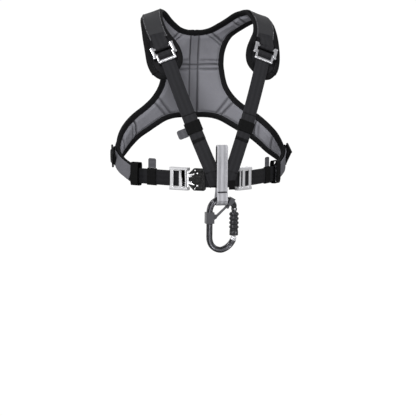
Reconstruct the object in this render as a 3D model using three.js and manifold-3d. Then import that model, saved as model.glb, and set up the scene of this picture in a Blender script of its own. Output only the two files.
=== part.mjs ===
// A climbing chest harness as it is worn: a padded yoke with webbing, steel buckles, a sternal loop
// and the locking carabiner that hangs in it. Millimetres, +Z up, +X to the wearer's left, -Y the front.
// The origin is the middle of the line between the two shoulder tops.
import * as THREE from "three";
import * as BufferGeometryUtils from "three/addons/utils/BufferGeometryUtils.js";
import Module from "manifold-3d";

const wasm = await Module();
wasm.setup();

// The body that the harness is shaped to
const HALF_WIDTH = 170; // middle of the body to the flank
const BACK_DEPTH = 89; // shoulder line to the middle of the back
const DROP = 316; // shoulder line to the middle of the chest belt
const FRONT_DEPTH = 140; // shoulder line to the breastbone, at the belt
const BELT_NOSE = 90; // how gently the belt rounds the breastbone

// Soft parts
const PAD_BACKING = 2.5; // pad, from its middle surface to its outer face
const PAD_LINING = 2.5; // pad, from its middle surface to the lining, at the edge
const PAD_FILL = 4.5; // how far the lining stands up in the middle of a panel
const GROOVE = 4; // how deep the sewn channels are
const EDGE_FLAT = 12; // flat rim under the binding
const FILL_SLOPE = 6; // from the rim up to the full thickness
const CHANNEL_HALF = 8; // half the width of the channel down the spine
const BINDING_WIDTH = 9.5;
const BINDING_WALL = 1.2;
const WEB_WIDTH = 28; // shoulder and front straps
const WEB_WALL = 1.8;
const BELT_WIDTH = 30; // chest belt
const BELT_WALL = 2;
const LOOP_WIDTH = 20; // sternal loop
const LOOP_WALL = 2.2;
const KEEPER_WALL = 1.2;
const KEEPER_LENGTH = 20;
const TAB_WIDTH = 18;
const TAB_LENGTH = 19;
const TAB_WALL = 2;

// Clearances
const GAP = 0.3; // between pieces that touch
const WEB_EASE = 2.3; // between flat webbing and the round of the shoulder and flank
const BINDING_GAP = 1.4; // between the pad and the binding folded round it

// Steel and plastic fittings
const STEEL = 4; // bar of the shoulder buckles
const ARM_DEPTH = 5.5;
const ADJUSTER_LENGTH = 35; // along the belt
const ADJUSTER_HEIGHT = 44;
const ADJUSTER_BAR = 3;
const RELEASE_LENGTH = 33;
const RELEASE_HEIGHT = 43;
const RELEASE_DEPTH = 10;
const RIVET_RADIUS = 1.7;
const SLIDER_LENGTH = 26;
const SLIDER_HEIGHT = 38;
const SLIDER_DEPTH = 4;

// Carabiner
const ROD_WIDTH = 11.6;
const ROD_DEPTH = 10;
const CARABINER_WIDTH = 64;
const CARABINER_HEIGHT = 110;
const GATE_RADIUS = 4.8;
const SLEEVE_RADIUS = 8.5;
const RIB_HEIGHT = 0.9;
const RIB_COUNT = 4;
const RIVET_HINGE_RADIUS = 1.8;
const TANG = 4; // thickness of the lug that the gate turns on
const CAPTIVE_ROD = 1.7; // radius of the bar that keeps the loop in the top of the carabiner
const BAR_WALL = 2.2;

const COLOURS = {
  lining: [0x74747a, 0.9, 0],
  binding: [0x141414, 0.85, 0],
  webbing: [0x2f2f31, 0.85, 0],
  elastic: [0x1d1d1f, 0.9, 0],
  tab: [0x6c6c70, 0.85, 0],
  loop: [0xb4b4b8, 0.85, 0],
  steel: [0xd8d8da, 0.3, 1],
  plastic: [0x161617, 0.45, 0],
  anodised: [0x1b1b1d, 0.35, 0.9],
  captive: [0x76767a, 0.5, 0],
};

const group = new THREE.Group();

function addMesh(name, geometry, colour) {
  const [color, roughness, metalness] = COLOURS[colour];
  const mesh = new THREE.Mesh(geometry, new THREE.MeshStandardMaterial({ color, roughness, metalness }));
  mesh.name = name;
  group.add(mesh);
  return mesh;
}

const vec = (x, y, z) => new THREE.Vector3(x, y, z);
const along = (point, direction, distance) => point.clone().addScaledVector(direction, distance);
const mix = (a, b, share) => a + (b - a) * share;
const mirrored = (point) => vec(-point.x, point.y, point.z);

// Closed surfaces

function signedVolume(points, faces) {
  let volume = 0;
  for (const [a, b, c] of faces) {
    volume += points[a].dot(points[b].clone().cross(points[c]));
  }
  return volume / 6;
}

function solidFrom(points, faces) {
  const outward = signedVolume(points, faces) > 0;
  const geometry = new THREE.BufferGeometry();
  const flat = points.flatMap((point) => [point.x, point.y, point.z]);
  geometry.setAttribute("position", new THREE.Float32BufferAttribute(flat, 3));
  geometry.setIndex(faces.flatMap(([a, b, c]) => (outward ? [a, b, c] : [a, c, b])));
  return BufferGeometryUtils.mergeVertices(geometry, 1e-3);
}

// Rings of equal length joined into a tube; an open run gets a cap at each end
function loft(rings, closed = false) {
  const count = rings[0].length;
  const points = rings.flat();
  const faces = [];
  const last = closed ? rings.length : rings.length - 1;
  for (let i = 0; i < last; i += 1) {
    const near = i * count;
    const far = ((i + 1) % rings.length) * count;
    for (let j = 0; j < count; j += 1) {
      const k = (j + 1) % count;
      faces.push([near + j, near + k, far + k], [near + j, far + k, far + j]);
    }
  }
  if (!closed) {
    const end = (rings.length - 1) * count;
    for (let a = 0, b = count - 1; b - a > 1; ) {
      const next = a + 1;
      faces.push([a, b, next], [end + a, end + next, end + b]);
      if (b - next > 1) {
        faces.push([next, b, b - 1], [end + next, end + b - 1, end + b]);
      }
      a = next;
      b -= 1;
    }
  }
  return solidFrom(points, faces);
}

function toManifold(geometry) {
  const bare = geometry.clone();
  for (const name of Object.keys(bare.attributes)) {
    if (name !== "position") {
      bare.deleteAttribute(name);
    }
  }
  const merged = BufferGeometryUtils.mergeVertices(bare, 1e-4);
  const vertProperties = new Float32Array(merged.attributes.position.array);
  const triVerts = new Uint32Array(merged.index.array);
  const mesh = new wasm.Mesh({ numProp: 3, vertProperties, triVerts });
  mesh.merge();
  return new wasm.Manifold(mesh);
}

function fromManifold(solid) {
  const mesh = solid.getMesh();
  const geometry = new THREE.BufferGeometry();
  geometry.setAttribute("position", new THREE.BufferAttribute(mesh.vertProperties.slice(), 3));
  geometry.setIndex(new THREE.BufferAttribute(mesh.triVerts.slice(), 1));
  return geometry;
}

const joined = (geometries) => geometries.map(toManifold).reduce((whole, next) => whole.add(next));
const cutBy = (solid, geometries) => geometries.map(toManifold).reduce((whole, next) => whole.subtract(next), solid);

// A frame on the part: a point, the way across, the way along and the way out
function frameAt(origin, down, outHint) {
  const yAxis = down.clone().normalize();
  const out = along(outHint, yAxis, -outHint.dot(yAxis)).normalize();
  const xAxis = yAxis.clone().cross(out).normalize();
  return { origin, xAxis, yAxis, out };
}

const inFrame = (frame, x, y, z) =>
  along(along(along(frame.origin, frame.xAxis, x), frame.yAxis, y), frame.out, z);

function placed(geometry, frame) {
  const matrix = new THREE.Matrix4().makeBasis(frame.xAxis, frame.yAxis, frame.out);
  matrix.setPosition(frame.origin);
  return geometry.clone().applyMatrix4(matrix);
}

const box = (x, y, z, width, height, depth) =>
  new THREE.BoxGeometry(width, height, depth).translate(x, y, z);

// A bar of flat section with broken corners, from one end to the other along x
function bar(x, y, z, length, height, depth) {
  const bevel = Math.min(height, depth) * 0.25;
  const a = height / 2;
  const b = depth / 2;
  const shape = new THREE.Shape([
    new THREE.Vector2(-a + bevel, -b),
    new THREE.Vector2(a - bevel, -b),
    new THREE.Vector2(a, -b + bevel),
    new THREE.Vector2(a, b - bevel),
    new THREE.Vector2(a - bevel, b),
    new THREE.Vector2(-a + bevel, b),
    new THREE.Vector2(-a, b - bevel),
    new THREE.Vector2(-a, -b + bevel),
  ]);
  const geometry = new THREE.ExtrudeGeometry(shape, { depth: length, bevelEnabled: false });
  geometry.translate(0, 0, -length / 2);
  geometry.applyMatrix4(new THREE.Matrix4().set(0, 0, 1, 0, 1, 0, 0, 0, 0, 1, 0, 0, 0, 0, 0, 1));
  return geometry.translate(x, y, z);
}

const uprightBar = (x, y, z, length, width, depth) =>
  bar(0, 0, 0, length, width, depth)
    .rotateZ(Math.PI / 2)
    .translate(x, y, z);

// A flat strip that follows a run of points; each point has its way out of the strip's face
function ribbon(points, outs, width, wall, base = 0, closed = false) {
  const rings = points.map((point, i) => {
    const before = points[closed ? (i + points.length - 1) % points.length : Math.max(i - 1, 0)];
    const after = points[closed ? (i + 1) % points.length : Math.min(i + 1, points.length - 1)];
    const tangent = after.clone().sub(before).normalize();
    const out = along(outs[i], tangent, -outs[i].dot(tangent)).normalize();
    const side = tangent.clone().cross(out);
    const corner = (share, height) => along(along(point, side, share * width), out, height);
    return [corner(-0.5, base), corner(0.5, base), corner(0.5, base + wall), corner(-0.5, base + wall)];
  });
  return loft(rings, closed);
}

// A flat tube round a strap, open at both ends
function sleeve(frame, width, depth, length, wall) {
  const ring = (w, d, grow) => {
    const a = w / 2 + grow;
    const b = d / 2 + grow;
    const c = Math.min(b * 0.7, 1 + grow);
    return [
      new THREE.Vector2(-a + c, -b),
      new THREE.Vector2(a - c, -b),
      new THREE.Vector2(a, -b + c),
      new THREE.Vector2(a, b - c),
      new THREE.Vector2(a - c, b),
      new THREE.Vector2(-a + c, b),
      new THREE.Vector2(-a, b - c),
      new THREE.Vector2(-a, -b + c),
    ];
  };
  const shape = new THREE.Shape(ring(width, depth, wall));
  shape.holes.push(new THREE.Path(ring(width, depth, 0).reverse()));
  const geometry = new THREE.ExtrudeGeometry(shape, { depth: length, bevelEnabled: false });
  geometry.translate(0, 0, -length / 2);
  geometry.applyMatrix4(new THREE.Matrix4().set(1, 0, 0, 0, 0, 0, 1, 0, 0, 1, 0, 0, 0, 0, 0, 1));
  return placed(BufferGeometryUtils.mergeVertices(flipped(geometry), 1e-4), frame);
}

// The same surface with its faces turned over, for a swap of axes that mirrors
function flipped(geometry) {
  const bare = new THREE.BufferGeometry();
  bare.setAttribute("position", geometry.attributes.position.clone());
  if (geometry.index) {
    bare.setIndex(geometry.index.clone());
  }
  const merged = BufferGeometryUtils.mergeVertices(bare, 1e-4);
  const order = Array.from(merged.index.array);
  for (let i = 0; i < order.length; i += 3) {
    [order[i + 1], order[i + 2]] = [order[i + 2], order[i + 1]];
  }
  merged.setIndex(order);
  return merged;
}

// The yoke: rows from the front tip of a shoulder pad, over the shoulder, down the back and round the flank.
// Each row runs from the armhole edge to the neck, the spine or the bottom edge. x is in shares of
// HALF_WIDTH, y of BACK_DEPTH and z of DROP. "groove" is 1 where a sewn channel crosses the pad.
const YOKE_COLUMNS = ["armX", "armY", "armZ", "innerX", "innerY", "innerZ", "groove"];
const YOKE_ROWS = [
  [0.688, -0.955, -0.392, 0.541, -1.0, -0.389, 0],
  [0.741, -0.91, -0.354, 0.459, -1.0, -0.351, 0],
  [0.771, -0.843, -0.307, 0.4, -0.955, -0.307, 0],
  [0.782, -0.787, -0.259, 0.388, -0.888, -0.259, 0],
  [0.788, -0.697, -0.209, 0.412, -0.798, -0.209, 0],
  [0.791, -0.584, -0.158, 0.465, -0.685, -0.158, 0],
  [0.788, -0.472, -0.114, 0.518, -0.562, -0.111, 0],
  [0.782, -0.315, -0.07, 0.544, -0.404, -0.06, 0],
  [0.765, -0.135, -0.038, 0.541, -0.202, -0.016, 0],
  [0.729, 0.022, -0.024, 0.512, 0.022, 0.018, 0],
  [0.671, 0.247, -0.035, 0.471, 0.18, 0.018, 0],
  [0.606, 0.449, -0.06, 0.412, 0.348, 0.003, 1],
  [0.541, 0.607, -0.089, 0.335, 0.528, -0.035, 0],
  [0.482, 0.719, -0.117, 0.253, 0.674, -0.07, 0],
  [0.435, 0.787, -0.146, 0.176, 0.775, -0.098, 0],
  [0.394, 0.843, -0.19, 0.088, 0.836, -0.114, 1],
  [0.371, 0.888, -0.234, 0, 0.854, -0.117, 0],
  [0.362, 0.91, -0.263, 0, 0.876, -0.156, 0],
  [0.359, 0.933, -0.301, 0, 0.944, -0.25, 0],
  [0.362, 0.955, -0.339, 0, 0.978, -0.339, 1],
  [0.371, 0.955, -0.373, 0, 0.989, -0.42, 0],
  [0.388, 0.955, -0.421, 0, 1.0, -0.52, 0],
  [0.412, 0.944, -0.465, 0, 1.0, -0.623, 0],
  [0.453, 0.921, -0.506, 0, 1.0, -0.661, 0],
  [0.512, 0.888, -0.547, 0.118, 1.0, -0.663, 0],
  [0.576, 0.854, -0.579, 0.229, 0.989, -0.668, 1],
  [0.647, 0.809, -0.608, 0.335, 0.966, -0.684, 0],
  [0.718, 0.753, -0.633, 0.441, 0.921, -0.715, 0],
  [0.788, 0.685, -0.661, 0.559, 0.865, -0.753, 1],
  [0.853, 0.607, -0.693, 0.676, 0.787, -0.791, 0],
  [0.912, 0.506, -0.728, 0.782, 0.685, -0.839, 0],
  [0.959, 0.382, -0.766, 0.871, 0.562, -0.886, 1],
  [0.991, 0.258, -0.81, 0.941, 0.404, -0.918, 0],
  [1.003, 0.146, -0.848, 0.988, 0.225, -0.943, 0],
  [0.988, 0.034, -0.883, 0.988, 0.056, -0.978, 1],
  [0.953, -0.067, -0.911, 0.947, -0.079, -1.013, 0],
  [0.912, -0.157, -0.93, 0.894, -0.18, -1.038, 0],
  [0.871, -0.236, -0.943, 0.859, -0.247, -1.052, 0],
  [0.835, -0.292, -0.953, 0.835, -0.292, -1.062, 0],
].map((row) => Object.fromEntries(YOKE_COLUMNS.map((name, i) => [name, row[i]])));

const NECK_ROW = 16; // the row whose inner end is the middle of the neck edge
const BOTTOM_ROW = 23; // the row whose inner end is the middle of the bottom edge
const BIND_END_ROW = 36; // the bindings run out under the wing band here
const TIP_BULGE = 4; // how far the middle of the tip stands beyond its corners

function yokeRow(row, index) {
  const arm = vec(row.armX * HALF_WIDTH, row.armY * BACK_DEPTH, row.armZ * DROP);
  const inner = vec(row.innerX * HALF_WIDTH, row.innerY * BACK_DEPTH, row.innerZ * DROP);
  const width = arm.distanceTo(inner);
  const onSpine = index >= NECK_ROW && index <= BOTTOM_ROW;
  const rim = Math.min(EDGE_FLAT, width * 0.3);
  const slope = Math.min(FILL_SLOPE, width * 0.12);
  const innerRim = onSpine ? CHANNEL_HALF : rim;
  const near = rim + slope;
  const far = width - innerRim - slope;
  const stops = [0, rim, near, mix(near, far, 1 / 3), mix(near, far, 2 / 3), far, width - innerRim, width];
  return stops.map((stop) => arm.clone().lerp(inner, stop / width));
}

const yokeGrid = YOKE_ROWS.map(yokeRow);
const LAST_ROW = yokeGrid.length - 1;
const LAST_COLUMN = yokeGrid[0].length - 1;
const tipDown = yokeGrid[0][0].clone().sub(yokeGrid[1][0]).normalize();
yokeGrid[0] = yokeGrid[0].map((point, j) => {
  const share = (2 * j) / LAST_COLUMN - 1;
  return along(point, tipDown, TIP_BULGE * (1 - share * share));
});

function gridNormal(i, j) {
  const up = yokeGrid[Math.max(i - 1, 0)][j];
  const down = yokeGrid[Math.min(i + 1, LAST_ROW)][j];
  const left = yokeGrid[i][Math.max(j - 1, 0)];
  const right = yokeGrid[i][Math.min(j + 1, LAST_COLUMN)];
  const normal = down.clone().sub(up).cross(right.clone().sub(left));
  if (yokeGrid[i][j].x < GAP) {
    normal.x = 0;
  }
  return normal.normalize();
}

const yokeNormals = yokeGrid.map((row, i) => row.map((point, j) => gridNormal(i, j)));

// The edge of one half, as places in the grid: flank, tip, neck, and then the bottom edge
const rowsBetween = (first, last) => Array.from({ length: last - first + 1 }, (unused, i) => first + i);
const upperEdge = [
  ...rowsBetween(0, BIND_END_ROW).reverse().map((i) => [i, 0]),
  ...rowsBetween(1, LAST_COLUMN - 1).map((j) => [0, j]),
  ...rowsBetween(0, NECK_ROW).map((i) => [i, LAST_COLUMN]),
];
const lowerEdge = rowsBetween(BOTTOM_ROW, BIND_END_ROW).reverse().map((i) => [i, LAST_COLUMN]);
const edgeRuns = [
  rowsBetween(0, LAST_ROW).map((i) => yokeGrid[i][0]),
  yokeGrid[0],
  rowsBetween(0, NECK_ROW).map((i) => yokeGrid[i][LAST_COLUMN]),
  rowsBetween(BOTTOM_ROW, LAST_ROW).map((i) => yokeGrid[i][LAST_COLUMN]),
];

function distanceToEdge(point) {
  const nearest = vec(0, 0, 0);
  const distances = edgeRuns.flatMap((run) => run.slice(1).map((end, k) => {
    new THREE.Line3(run[k], end).closestPointToPoint(point, true, nearest);
    return nearest.distanceTo(point);
  }));
  return Math.min(...distances);
}

function liningDepth(i, j) {
  const rise = (distanceToEdge(yokeGrid[i][j]) - EDGE_FLAT) / FILL_SLOPE;
  const fill = i <= 1 ? 0 : Math.min(Math.max(rise, 0), 1);
  const onSpine = i > NECK_ROW && i < BOTTOM_ROW && j >= LAST_COLUMN - 1;
  const channel = onSpine || YOKE_ROWS[i].groove === 1 ? GROOVE : 0;
  return PAD_LINING + fill * (PAD_FILL - channel);
}

function yokeSolid() {
  const points = [];
  const faces = [];
  for (const side of [1, -1]) {
    const start = points.length;
    const columns = LAST_COLUMN + 1;
    yokeGrid.forEach((row, i) => row.forEach((point, j) => {
      const normal = yokeNormals[i][j];
      for (const place of [along(point, normal, PAD_BACKING), along(point, normal, -liningDepth(i, j))]) {
        points.push(side === 1 ? place : mirrored(place));
      }
    }));
    const at = (i, j, face) => start + 2 * (i * columns + j) + face;
    const quad = (a, b, c, d) => {
      faces.push(side === 1 ? [a, b, c] : [a, c, b], side === 1 ? [a, c, d] : [a, d, c]);
    };
    for (let i = 0; i < LAST_ROW; i += 1) {
      for (let j = 0; j < LAST_COLUMN; j += 1) {
        quad(at(i, j, 0), at(i, j + 1, 0), at(i + 1, j + 1, 0), at(i + 1, j, 0));
        quad(at(i, j, 1), at(i + 1, j, 1), at(i + 1, j + 1, 1), at(i, j + 1, 1));
      }
      quad(at(i, 0, 0), at(i + 1, 0, 0), at(i + 1, 0, 1), at(i, 0, 1));
      if (i < NECK_ROW || i >= BOTTOM_ROW) {
        const j = LAST_COLUMN;
        quad(at(i, j, 0), at(i, j, 1), at(i + 1, j, 1), at(i + 1, j, 0));
      }
    }
    for (let j = 0; j < LAST_COLUMN; j += 1) {
      quad(at(0, j, 0), at(0, j, 1), at(0, j + 1, 1), at(0, j + 1, 0));
      quad(at(LAST_ROW, j, 0), at(LAST_ROW, j + 1, 0), at(LAST_ROW, j + 1, 1), at(LAST_ROW, j, 1));
    }
  }
  return solidFrom(points, faces);
}

// The way into the pad from a place on its edge, as places in the grid
function inwardPlaces(i, j) {
  const steps = [0, 1, 2];
  if (i === 0) {
    const turn = j === 0 ? 1 : j === LAST_COLUMN ? -1 : 0;
    return steps.map((step) => [step, j + turn * step]);
  }
  if (j === LAST_COLUMN && (i === NECK_ROW || i === BOTTOM_ROW)) {
    return steps.map((step) => [i === NECK_ROW ? i + step : i - step, j]);
  }
  return [...steps, 3].map((step) => [i, j === 0 ? step : j - step]);
}

// A point on the pad's middle surface, some way in from its edge
function insideEdge(i, j, distance) {
  const places = inwardPlaces(i, j);
  let left = distance;
  for (let k = 1; k < places.length; k += 1) {
    const [[a, b], [c, d]] = [places[k - 1], places[k]];
    const span = yokeGrid[a][b].distanceTo(yokeGrid[c][d]);
    if (left <= span || k === places.length - 1) {
      const point = yokeGrid[a][b].clone().lerp(yokeGrid[c][d], left / span);
      return { point, normal: yokeNormals[a][b].clone().lerp(yokeNormals[c][d], left / span).normalize() };
    }
    left -= span;
  }
  return null;
}

// The binding folds round the edge of the pad; its section is a U that is open towards the pad
function binding(edge) {
  const half = edge.map(([i, j], k) => {
    const point = yokeGrid[i][j];
    const stepFrom = (from) => {
      const [[a, b], [c, d]] = [edge[from], edge[from + 1]];
      return yokeGrid[c][d].clone().sub(yokeGrid[a][b]).normalize();
    };
    const before = stepFrom(Math.max(k - 1, 0));
    const after = stepFrom(Math.min(k, edge.length - 2));
    const tangent = before.clone().add(after);
    const bend = Math.max(before.add(after).length() / 2, 0.6);
    const [, [nextI, nextJ]] = inwardPlaces(i, j);
    const way = yokeGrid[nextI][nextJ].clone().sub(point).normalize();
    const slant = Math.max(way.clone().cross(tangent.normalize()).length(), 0.6);
    const inside = insideEdge(i, j, BINDING_WIDTH / (bend * slant));
    return { point, normal: yokeNormals[i][j], inside: inside.point, insideNormal: inside.normal };
  });
  const turned = (place) => Object.fromEntries(Object.entries(place).map(([name, value]) => [name, mirrored(value)]));
  const run = [...half, ...half.slice(0, -1).reverse().map(turned)];
  const rings = run.map(({ point, normal, inside, insideNormal }) => {
    const out = point.clone().sub(inside).normalize();
    const edgeAt = (depth, height) => along(along(point, out, depth), normal, height);
    const insideAt = (height) => along(inside, insideNormal, height);
    const top = PAD_BACKING + BINDING_GAP;
    const low = -PAD_LINING - BINDING_GAP;
    const round = BINDING_WALL * 0.4;
    return [
      insideAt(top),
      edgeAt(BINDING_GAP, top),
      edgeAt(BINDING_GAP, low),
      insideAt(low),
      insideAt(low - BINDING_WALL),
      edgeAt(BINDING_GAP + round, low - BINDING_WALL),
      edgeAt(BINDING_GAP + BINDING_WALL, low),
      edgeAt(BINDING_GAP + BINDING_WALL, top),
      edgeAt(BINDING_GAP + round, top + BINDING_WALL),
      insideAt(top + BINDING_WALL),
    ];
  });
  return bindingLoft(rings);
}

// The ends of the U are closed wall by wall, because its section is not convex
function bindingLoft(rings) {
  const count = rings[0].length;
  const points = rings.flat();
  const faces = [];
  for (let i = 0; i < rings.length - 1; i += 1) {
    for (let j = 0; j < count; j += 1) {
      const k = (j + 1) % count;
      const near = i * count;
      const far = near + count;
      faces.push([near + j, near + k, far + k], [near + j, far + k, far + j]);
    }
  }
  const capQuads = [[0, 1, 8, 9], [1, 7, 8], [1, 2, 6, 7], [2, 5, 6], [2, 3, 4, 5]];
  const end = (rings.length - 1) * count;
  for (const corners of capQuads) {
    for (let k = 1; k < corners.length - 1; k += 1) {
      const [a, b, c] = [corners[0], corners[k], corners[k + 1]];
      faces.push([a, c, b], [end + a, end + b, end + c]);
    }
  }
  return solidFrom(points, faces);
}

// Both halves of a pair come from the right-hand one
function mirrorGeometry(geometry) {
  return flipped(geometry.clone().applyMatrix4(new THREE.Matrix4().makeScale(-1, 1, 1)));
}

function addPair(name, geometry, colour) {
  addMesh(`${name}_right`, geometry, colour);
  addMesh(`${name}_left`, mirrorGeometry(geometry), colour);
}

// A flat strip whose width lies along a given side direction at each point
function strip(points, sides, width, wall, closed = false) {
  const outs = points.map((point, i) => {
    const before = points[closed ? (i + points.length - 1) % points.length : Math.max(i - 1, 0)];
    const after = points[closed ? (i + 1) % points.length : Math.min(i + 1, points.length - 1)];
    return sides[i].clone().cross(after.clone().sub(before)).normalize();
  });
  return ribbon(points, outs, width, wall, -wall / 2, closed);
}

function arc(centreY, centreZ, radius, from, to, steps) {
  return Array.from({ length: steps + 1 }, (unused, i) => {
    const angle = THREE.MathUtils.degToRad(mix(from, to, i / steps));
    return [centreY + radius * Math.cos(angle), centreZ + radius * Math.sin(angle)];
  });
}

// The chest belt runs level from wing to wing and rounds the breastbone
const lastRow = yokeGrid[LAST_ROW];
const wingEnd = lastRow[0].clone().lerp(lastRow[LAST_COLUMN], 0.5);
const BELT_Z = wingEnd.z;
const beltSlope = (wingEnd.y + FRONT_DEPTH) / (Math.hypot(wingEnd.x, BELT_NOSE) - BELT_NOSE);

function beltPoint(x) {
  return vec(x, -FRONT_DEPTH + beltSlope * (Math.hypot(x, BELT_NOSE) - BELT_NOSE), BELT_Z);
}

function beltOut(x) {
  return vec((beltSlope * x) / Math.hypot(x, BELT_NOSE), -1, 0).normalize();
}

// The straight stretch of the belt that carries a fitting
function beltFrame(from, to) {
  const start = beltPoint(from);
  const end = beltPoint(to);
  const xAxis = end.clone().sub(start).normalize();
  const yAxis = vec(0, 0, 1);
  return { origin: start.lerp(end, 0.5), xAxis, yAxis, out: xAxis.clone().cross(yAxis) };
}

// A stretch of belt through the places where it is straight, at a depth from its own middle
function beltStrip(stops) {
  const points = stops.map(([x, depth]) => along(beltPoint(x), beltOut(x), depth));
  return ribbon(points, stops.map(([x]) => beltOut(x)), BELT_WIDTH, BELT_WALL, -BELT_WALL / 2);
}

const STRIP_STEP = 8; // spacing of the bends in a curved stretch of belt
function beltStops(from, to, depth = 0) {
  const steps = Math.max(1, Math.round(Math.abs(to - from) / STRIP_STEP));
  return Array.from({ length: steps + 1 }, (unused, i) => [mix(from, to, i / steps), depth]);
}

// Where the fittings sit along the belt, as x
const BELT_ENDS = wingEnd.x - 1.45; // the belt's ends stop just short of the wings' middle
const KEEPER_AT = 117;
const ADJUSTER_INNER = 58; // inner end of the left adjuster
const ADJUSTER_OUTER = 88;
const RIGHT_INNER = 34;
const RIGHT_OUTER = 66;
const RELEASE_INNER = 30.5;

addMesh("back_yoke", yokeSolid(), "lining");
addMesh("binding_upper", binding(upperEdge), "binding");
addMesh("binding_lower", binding(lowerEdge), "binding");

// Webbing that lies on the outer face of the yoke: where along each row its middle runs
const WEB_START_ROW = 5;
const WEB_END_ROW = 37;
const WEB_MIDDLE = [[0, 0.5], [12, 0.5], [16, 0.6], [19, 0.66], [23, 0.62], [28, 0.5], [LAST_ROW, 0.5]];

const WEB_LIFT = PAD_BACKING + BINDING_GAP + BINDING_WALL + WEB_EASE; // the webbing crosses over the bindings

function webShare(row) {
  const next = WEB_MIDDLE.findIndex(([stop]) => stop >= row);
  const [toRow, toShare] = WEB_MIDDLE[Math.max(next, 1)];
  const [fromRow, fromShare] = WEB_MIDDLE[Math.max(next, 1) - 1];
  return mix(fromShare, toShare, (row - fromRow) / (toRow - fromRow));
}

function onYoke(row, height) {
  const share = webShare(row);
  const point = yokeGrid[row][0].clone().lerp(yokeGrid[row][LAST_COLUMN], share);
  const column = Math.round(share * LAST_COLUMN);
  return { point: along(point, yokeNormals[row][column], height), normal: yokeNormals[row][column] };
}

// The shoulder buckle lies on the front tip of the pad
const buckleSeat = onYoke(3, PAD_BACKING);
const BUCKLE_LIFT = 8; // middle of the buckle over the pad
const BUCKLE_LEAN = vec(-0.33, -0.4, -0.86); // the way the strap leaves it
const BAR_BELOW = 13; // bottom bar, from the axle that the strap goes round
const TOP_ABOVE = 13; // top bar, from the axle
const buckleFrame = frameAt(along(buckleSeat.point, buckleSeat.normal, BUCKLE_LIFT), BUCKLE_LEAN, buckleSeat.normal);

const FRAME_INSIDE = WEB_WIDTH / 2 + 2 * GAP; // half the window of the lower frame
const FRAME_ARM = 3.3;
const ARM_WIDTH = 4.4;
const armInside = FRAME_INSIDE + FRAME_ARM + GAP;

function shoulderBuckle() {
  const armMiddle = armInside + ARM_WIDTH / 2;
  const armLength = TOP_ABOVE + STEEL;
  const pieces = [bar(0, -TOP_ABOVE, 0, 2 * armInside + ARM_WIDTH, STEEL, STEEL)];
  for (const side of [1, -1]) {
    pieces.push(uprightBar(side * armMiddle, -TOP_ABOVE / 2, 0, armLength, ARM_WIDTH, ARM_DEPTH));
    const knob = new THREE.CylinderGeometry(STEEL * 0.9, STEEL * 0.9, ARM_WIDTH, 12).rotateZ(Math.PI / 2);
    pieces.push(knob.translate(side * armMiddle, 0, 0));
  }
  return placed(fromManifold(joined(pieces)), buckleFrame);
}

function shoulderFrame() {
  const armMiddle = FRAME_INSIDE + FRAME_ARM / 2;
  const barHeight = STEEL * 1.5;
  const pieces = [
    bar(0, 0, 0, 2 * (FRAME_INSIDE + FRAME_ARM), STEEL, STEEL),
    bar(0, BAR_BELOW, 0, 2 * (FRAME_INSIDE + FRAME_ARM), barHeight, STEEL),
  ];
  for (const side of [1, -1]) {
    pieces.push(uprightBar(side * armMiddle, BAR_BELOW / 2, 0, BAR_BELOW + STEEL, FRAME_ARM, STEEL));
  }
  return placed(fromManifold(joined(pieces)), buckleFrame);
}

addPair("shoulder_buckle", shoulderBuckle(), "steel");
addPair("shoulder_bar", shoulderFrame(), "steel");

// The shoulder webbing folds round the top bar and lies down the whole yoke as far as the wing band
const wrap = STEEL / 2 + GAP + WEB_WALL / 2; // strap round a bar, to the strap's middle
const shoulderFold = [
  [-TOP_ABOVE - 11, -wrap],
  [-TOP_ABOVE - 5, -wrap],
  ...arc(-TOP_ABOVE, 0, wrap, -90, 90, 6),
  [-TOP_ABOVE - 5, wrap],
];

function shoulderWebbing() {
  const fold = shoulderFold.map(([y, z]) => inFrame(buckleFrame, 0, y, z));
  const foldSides = fold.map(() => buckleFrame.xAxis);
  const rows = rowsBetween(WEB_START_ROW, WEB_END_ROW);
  const run = rows.map((row) => onYoke(row, WEB_LIFT + WEB_WALL / 2));
  const points = [...fold, ...run.map(({ point }) => point)];
  const runSides = run.map(({ normal }, i) => {
    const before = points[fold.length + i - 1];
    const after = points[Math.min(fold.length + i + 1, points.length - 1)];
    return normal.clone().cross(after.clone().sub(before)).normalize();
  });
  return strip(points, [...foldSides, ...runSides], WEB_WIDTH, WEB_WALL);
}

addPair("shoulder_webbing", shoulderWebbing(), "webbing");

// The front strap comes up behind the bottom bar, goes over the axle and down behind itself
const STRAP_FOOT = 15.5; // x of the strap's end on the belt
const STRAP_FACING = vec(0.15, -1, 0).normalize();
const STRAP_STAND = BELT_WALL / 2 + GAP + WEB_WALL / 2 + 0.6; // middle of the strap in front of the belt's middle
const STRAP_SPREAD = 0.37; // sideways travel for each millimetre of height

function strapFootPoint(height) {
  const x = STRAP_FOOT + STRAP_SPREAD * (height + BELT_WIDTH / 2);
  return along(vec(x, beltPoint(STRAP_FOOT).y, BELT_Z + height), STRAP_FACING, STRAP_STAND);
}

const strapLow = strapFootPoint(BELT_WIDTH / 2 + 4);
const strapHigh = inFrame(buckleFrame, 0, BAR_BELOW + 12, -wrap + 0.4);
const STRAP_BOW = 3; // the strap stands this far off its chord
const strapShare = (share) => along(strapLow.clone().lerp(strapHigh, share), STRAP_FACING, STRAP_BOW * 4 * share * (1 - share));
const strapFold = [
  [BAR_BELOW + 4, -wrap - 0.1],
  [BAR_BELOW - 3, -wrap],
  [BAR_BELOW - 6.2, -wrap * 0.3],
  [BAR_BELOW - 9, wrap * 0.8],
  ...arc(0, 0, wrap, 62, 270, 8),
  [4.5, -wrap - 2.2],
  [BAR_BELOW - 3, -wrap - WEB_WALL - GAP - 0.1],
  [BAR_BELOW + 6, -wrap - WEB_WALL - GAP - 0.2],
];

const strapStops = [0, 0.12, 0.25, 0.38, 0.5, 0.62, 0.75, 0.88, 1];
const beltTangent = STRAP_FACING.clone().cross(vec(0, 0, 1)).negate().normalize();

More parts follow.
